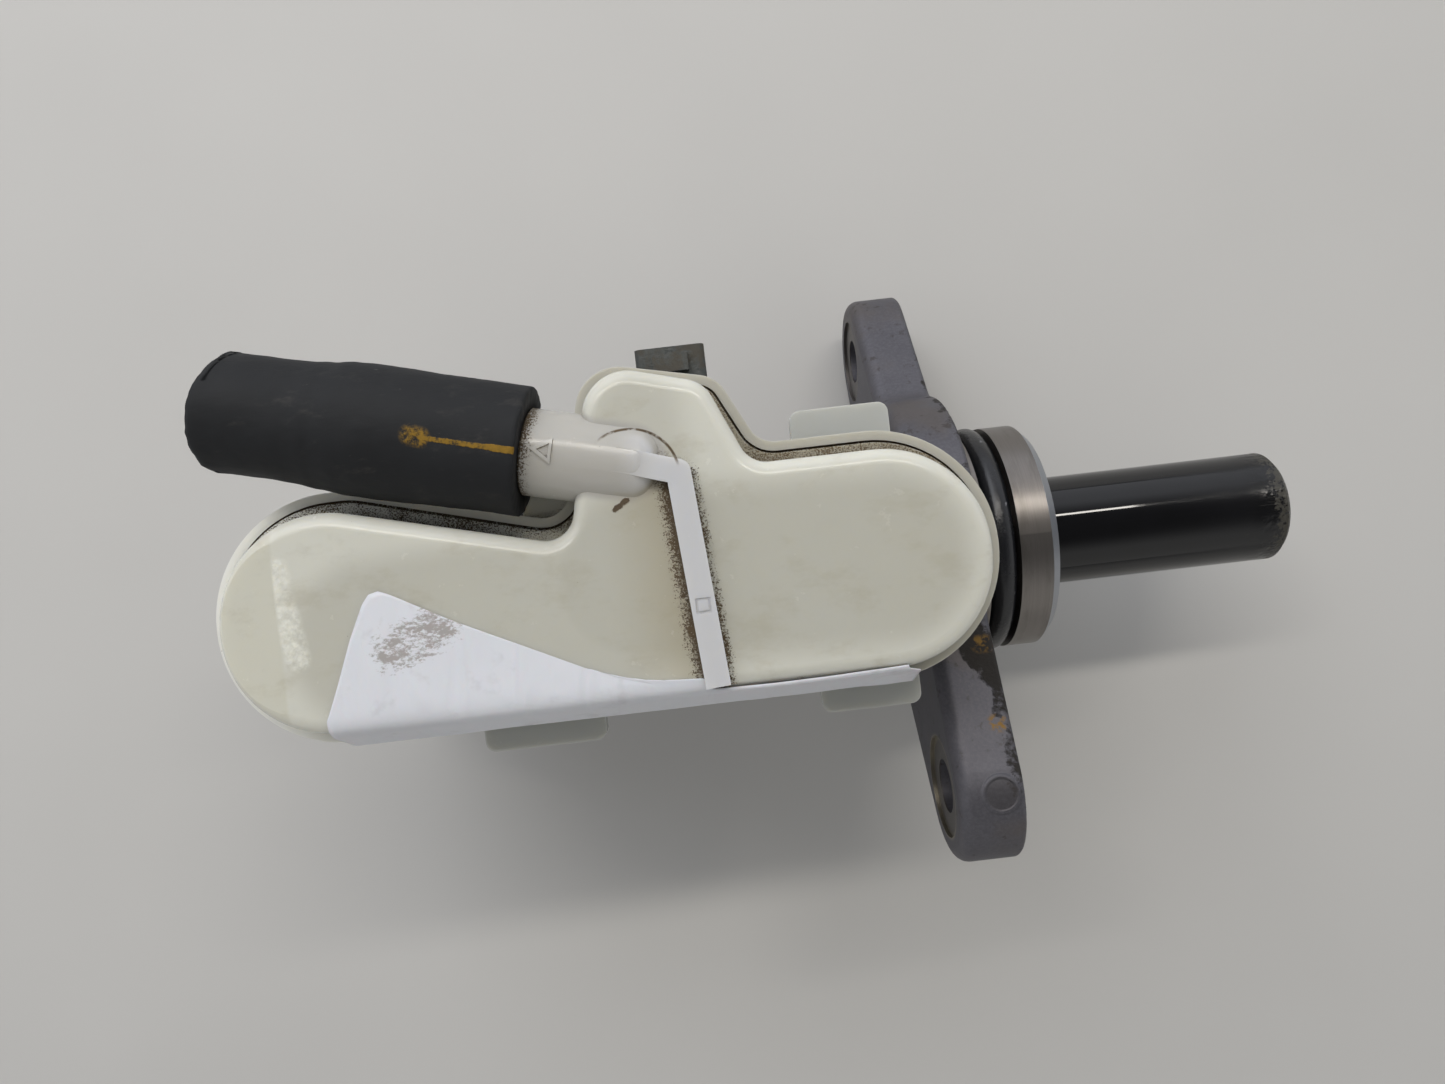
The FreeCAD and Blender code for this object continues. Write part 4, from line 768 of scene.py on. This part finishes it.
hoseSet = {"start": (-62.4, 18.5, 52.0), "turnDeg": 14.0, "around": 144, "black": "#131416",
           "bloom": "#1f2124", "dust": "#3a3836", "nick": "#565350", "paintThin": "#5f4a14",
           "paint": "#a37c1e",
           "outside": ((6.8, 8.95), (7.0, 9.16), (9.0, 9.2), (14.0, 9.22), (19.0, 9.3), (24.0, 9.42),
                       (28.5, 9.5), (31.5, 9.42), (35.0, 9.0), (38.5, 8.66), (42.5, 8.58), (47.0, 8.72),
                       (50.2, 8.82), (50.8, 8.6)),
           "bore": ((50.7, 5.5), (50.2, 5.4), (42, 5.4), (36, 5.45), (32.2, 5.7), (29, 6.75), (24.5, 5.75),
                    (20, 5.68), (9, 5.68), (6.9, 5.78))}


def alongHose(distance, across, up):
    # a point given by its distance out along the nipple, sideways and upwards from the axis
    turn = math.radians(hoseSet["turnDeg"])
    out = Vector((-math.cos(turn), math.sin(turn), 0))
    sideways = Vector((math.sin(turn), math.cos(turn), 0))
    return (Vector(hoseSet["start"]) + out * distance + sideways * across + Vector((0, 0, up))) * mm


def hoseRubber():
    # EPDM radiator-type hose: charcoal, dead matt, handled: grey bloom, scuffs and a dab of yellow paint.
    mat, shader, space = newMaterial("epdmRubber")
    bloom = addNode(mat, "TexNoise", space, Scale=1 / 11, Detail=4, Roughness=0.6)
    colour = addNode(mat, "Mix", bloom, hoseSet["black"], hoseSet["bloom"])
    dusty = addNode(mat, "VectorMath", space, (0.7, 1.6, 1.0), operation="MULTIPLY")
    dusty = addNode(mat, "TexNoise", dusty, Scale=1 / 5.0, Detail=5, Roughness=0.7)
    dusty = addNode(mat, "MapRange", dusty, 0.55, 0.75, 0.0, 0.5)
    colour = addNode(mat, "Mix", dusty, colour, hoseSet["dust"])
    nick = addNode(mat, "VectorMath", space, (0.5, 2.2, 1.0), operation="MULTIPLY")
    nick = addNode(mat, "TexNoise", nick, Scale=1 / 1.6, Detail=4, Roughness=0.7)
    nick = addNode(mat, "MapRange", nick, 0.7, 0.76, 0.0, 0.6)
    colour = addNode(mat, "Mix", nick, colour, hoseSet["nick"])
    # paint stripe on the crown, thin and broken along its middle, with a blob at its far end
    grainsNear = addNode(mat, "TexNoise", space, Scale=1 / 0.8, Detail=4, Roughness=0.7)
    away = distanceFromRun(mat, space, (-81.6, 22.55, 61.0), (-69.3, 19.35, 61.0))
    blob = distanceFromRun(mat, space, (-82.6, 23.0, 61.0), (-81.3, 22.5, 61.0))
    x, y, z = addNode(mat, "SeparateXYZ", space).node.outputs
    broken = addNode(mat, "MapRange", x, -70.5, -74)
    broken = addNode(mat, "Math", broken, -0.3, 0.2, operation="MULTIPLY_ADD")
    core = addNode(mat, "Math", addNode(mat, "MapRange", away, 0.85, 0.25), broken, operation="ADD")
    stripe = addNode(mat, "Math", grainsNear, 0.6, operation="MULTIPLY")
    stripe = addNode(mat, "Math", addNode(mat, "Math", core, 0.75, operation="MULTIPLY"), stripe,
                     operation="ADD")
    stripe = addNode(mat, "MapRange", stripe, 0.82, 0.98)
    stripe = addNode(mat, "Math", stripe, addNode(mat, "MapRange", away, 1.05, 0.9), operation="MULTIPLY")
    dab = addNode(mat, "MapRange", grainsNear, 0.34, 0.6)
    dab = addNode(mat, "Math", addNode(mat, "MapRange", blob, 1.7, 0.7), dab, operation="MULTIPLY")
    paint = addNode(mat, "Math", stripe, dab, operation="MAXIMUM")
    paint = addNode(mat, "Math", paint, addNode(mat, "MapRange", z, 57, 59), operation="MULTIPLY")
    colour = addNode(mat, "Mix", addNode(mat, "Math", paint, 0.92, operation="MULTIPLY"), colour,
                     addNode(mat, "Mix", grainsNear, hoseSet["paintThin"], hoseSet["paint"]))
    connect(mat, colour, shader, "Base Color")
    connect(mat, addNode(mat, "Math", bloom, 0.2, 0.62, operation="MULTIPLY_ADD"), shader, "Roughness")
    shader.inputs["IOR"].default_value = 1.4
    normal = addNode(mat, "TexNoise", space, Scale=1 / 0.35, Roughness=0.6)
    normal = addNode(mat, "Bump", Height=normal, Distance=0.03 * mm, Strength=0.5)
    handled = addNode(mat, "VectorMath", space, (0.35, 1.2, 1.2), operation="MULTIPLY")
    handled = addNode(mat, "TexNoise", handled, Scale=1 / 4.0, Detail=4, Roughness=0.6)
    normal = addNode(mat, "Bump", Height=handled, Distance=0.25 * mm, Strength=0.4, Normal=normal)
    connect(mat, addNode(mat, "Bump", Height=paint, Distance=0.12 * mm, Strength=0.6, Normal=normal), shader,
            "Normal")
    return mat


def hoseOutside():
    # eased steps of about half a millimetre between the measured places
    rings = []
    profile = hoseSet["outside"]
    for (s0, r0), (s1, r1) in zip(profile, profile[1:]):
        steps = max(1, int((s1 - s0) / 0.5))
        for i in range(steps):
            t = i / steps
            rings.append((s0 + (s1 - s0) * t, r0 + (r1 - r0) * (3 * t ** 2 - 2 * t ** 3)))
    return rings + [profile[-1]]


def makeHose():
    around, verts, faces = hoseSet["around"], [], []
    rings = hoseOutside() + list(hoseSet["bore"])
    for s, r in rings:
        isOuter = r > 7
        free = max(0.0, (s - 44) / 6.8)   # 0 at 44 mm, 1 at the free end
        for k in range(around):
            a = 2 * math.pi * k / around
            c = math.cos(a)
            radius, distance = r, s
            if isOuter:
                # slow waviness and a slightly flattened free end
                here = Vector((s * 0.12, c * 1.1, math.sin(a) * 1.1))
                radius += 0.16 * noise.noise(here * 1.3) + 0.05 * noise.noise(here * 6)
                radius *= 1 - 0.035 * free * c ** 2
            if s > 49.5:
                # ragged knife cut, leaning back on both sides
                distance -= 1.6 * max(0.0, math.cos(a - 0.35)) ** 3 + 0.5 * max(0.0, -c) ** 4
                distance += 0.32 * noise.noise(Vector((c * 4, math.sin(a) * 4, 3)))
                distance += 0.14 * noise.noise(Vector((a * 9, 1, 0)))
            if s < 7.5 and isOuter:
                distance += 0.2 * noise.noise(Vector((c * 5, math.sin(a) * 5, 9)))
            verts.append(alongHose(distance, radius * c, radius * math.sin(a)))
    count = len(rings)
    for i in range(count):
        a, b = i * around, (i + 1) % count * around
        faces += [(a + k, a + (k + 1) % around, b + (k + 1) % around, b + k) for k in range(around)]
    hose = pieceFrom("feedHose", verts, faces, hoseRubber(), "housing")
    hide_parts("inlet_hose")


makeHose()
print("hose done")


labelSet = {"thickness": 0.16, "topZ": 56.06, "topEdgeY": -14.0, "hangFrom": 42.6, "hangTo": 45.0,
            "columns": 150, "rows": 34, "paper": "#d6d6dc", "bright": "#e0e0e6", "rubbed": "#857b70",
            "film": "#a8a4a6",
            "farEdge": ((-99.6, -13.9), (-97.6, -9.0), (-95.4, -3.2), (-93.2, 1.6), (-92.2, 2.9),
                        (-90.9, 3.2), (-89.5, 2.6), (-81.3, -2.0), (-72.2, -6.5), (-64.0, -10.6),
                        (-59.2, -12.7), (-55.5, -13.8), (-50.0, -14.9), (-45.8, -15.6), (-38.0, -15.75),
                        (-30.0, -15.7), (-22.0, -15.5), (-19.5, -15.4))}


def labelPaper():
    # Coated label paper left blank: white with a blue cast, rubbed grey, creased where it bridges the edge.
    mat, shader, space = newMaterial("coatedPaper")
    fibres = addNode(mat, "TexNoise", space, Scale=1 / 0.3, Detail=4, Roughness=0.7)
    colour = addNode(mat, "TexNoise", space, Scale=1 / 14)
    colour = addNode(mat, "Mix", colour, labelSet["paper"], labelSet["bright"])
    rubbedPatch = distanceFromRun(mat, space, (-89.5, -5.5, 56.2), (-83.0, -2.5, 56.2))
    rubbed = addNode(mat, "VectorMath", space, (1, 1.8, 1), operation="MULTIPLY")
    rubbed = addNode(mat, "TexNoise", rubbed, Scale=1 / 1.5, Detail=5, Roughness=0.8)
    rubbed = speckle(mat, addNode(mat, "Math", addNode(mat, "MapRange", rubbedPatch, 8.0, 1.0), 0.57,
                                  operation="MULTIPLY"), rubbed, 0.97, 1.1)
    colour = addNode(mat, "Mix", addNode(mat, "Math", rubbed, 0.7, operation="MULTIPLY"), colour,
                     labelSet["rubbed"])
    film = addNode(mat, "TexNoise", space, Scale=1 / 7.0, Detail=4, Roughness=0.65)
    film = addNode(mat, "MapRange", film, 0.55, 0.72, 0.0, 0.28)
    colour = addNode(mat, "Mix", film, colour, labelSet["film"])
    connect(mat, colour, shader, "Base Color")
    connect(mat, addNode(mat, "Math", fibres, 0.15, 0.42, operation="MULTIPLY_ADD"), shader, "Roughness")
    shader.inputs["Subsurface Weight"].default_value = 0.1
    shader.inputs["Subsurface Scale"].default_value = 0.001
    normal = addNode(mat, "Bump", Height=fibres, Distance=0.015 * mm, Strength=0.4)
    crinkle = addNode(mat, "VectorMath", space, (1.0, 0.35, 1.0), operation="MULTIPLY")
    crinkle = addNode(mat, "TexNoise", crinkle, Scale=1 / 3.0, Distortion=0.6)
    normal = addNode(mat, "Bump", Height=crinkle, Distance=0.25 * mm, Strength=0.35, Normal=normal)
    # long slack folds that run towards the bent edge
    slack = addNode(mat, "VectorMath", space, (0.22, 0.05, 0.05), operation="MULTIPLY")
    slack = addNode(mat, "TexNoise", slack, Scale=1.0, Detail=2, Roughness=0.4, Distortion=0.8)
    connect(mat, addNode(mat, "Bump", Height=slack, Distance=1.2 * mm, Strength=0.35, Normal=normal), shader,
            "Normal")
    return mat


def labelHeight(x, y):
    # small bubbles and folds in the part that is stuck to the top face
    wave = 0.05 * noise.noise(Vector((x * 0.25, y * 0.35, 4.0)))
    fold = 0.22 * math.exp(-((x + 86.5 + 0.35 * (y + 12)) / 1.1) ** 2) * max(0.0, min(1.0, (-7.5 - y) / 5))
    fold += 0.2 * math.exp(-((x + 76.0 + 0.2 * (y + 12)) / 0.9) ** 2) * max(0.0, min(1.0, (-10.5 - y) / 3))
    return max(0.0, wave) + fold


def labelColumn(fx, fy, along):
    # one strip across the label: over the top face, round the bend, down past the rim
    topZ, topEdgeY = labelSet["topZ"], labelSet["topEdgeY"]
    nearX = -99.8 + 82.2 * along ** 0.92
    nx = nearX if fx < -92 else max(nearX, fx)
    onTop = fy > topEdgeY
    path = []
    for j in range(12 if onTop else 0):
        px = fx + (nx - fx) * j / 12 * 0.75
        py = fy + (topEdgeY - fy) * j / 12
        path.append(Vector((px, py, topZ + labelHeight(px, py))))
    edgeX = fx + (nx - fx) * 0.75 if onTop else fx
    startY = topEdgeY if onTop else fy
    startZ = topZ if onTop else topZ - 0.25 - 0.35 * min(1.0, topEdgeY - fy)
    rim = -18.95 - 0.15 * noise.noise(Vector((nx * 0.1, 0, 0)))
    hang = labelSet["hangFrom"] + (labelSet["hangTo"] - labelSet["hangFrom"]) * along
    path += [Vector((edgeX, startY, startZ)), Vector((edgeX, min(startY - 0.6, -15.4), startZ - 0.35))]
    path += [Vector((nx, y, z)) for y, z in ((-16.5, 54.2), (-17.6, 50.5), (rim, 46.6), (rim - 0.25, 44.4),
                                             (rim - 0.1 + 0.3 * math.sin(nx * 0.35), hang))]
    return path


def makeLabel():
    # the far edge lies on the top face; columns run from it to the near edge, which hangs past the rim
    farEdge, columns, rows = labelSet["farEdge"], labelSet["columns"], labelSet["rows"]
    verts, faces = [], []
    length = len(farEdge) - 1
    for i in range(columns + 1):
        along = i / columns
        k = min(int(along * length), length - 1)
        fx, fy = (a + (b - a) * (along * length - k) for a, b in zip(farEdge[k], farEdge[k + 1]))
        path = labelColumn(fx, fy, along)
        # even spacing down the column
        lengths = [0.0]
        for a, b in zip(path, path[1:]):
            lengths.append(lengths[-1] + (b - a).length)
        for j in range(rows + 1):
            want = lengths[-1] * j / rows
            m = max(n for n in range(len(lengths) - 1) if lengths[n] <= want + 1e-9)
            share = (want - lengths[m]) / max(lengths[m + 1] - lengths[m], 1e-9)
            verts.append((path[m] + (path[m + 1] - path[m]) * min(share, 1.0)) * mm)
    for i in range(columns):
        for j in range(rows):
            a = i * (rows + 1) + j
            faces.append((a, a + 1, a + rows + 2, a + rows + 1))
    label = pieceFrom("paperLabel", verts, faces, labelPaper(), "housing")
    smoothing = label.modifiers.new("relax", "SMOOTH")
    smoothing.iterations = 3
    smoothing.factor = 0.5
    sheet = label.modifiers.new("sheet", "SOLIDIFY")
    sheet.thickness = labelSet["thickness"] * mm
    sheet.offset = 0.0
    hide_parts("paper_label")


makeLabel()
print("label done")
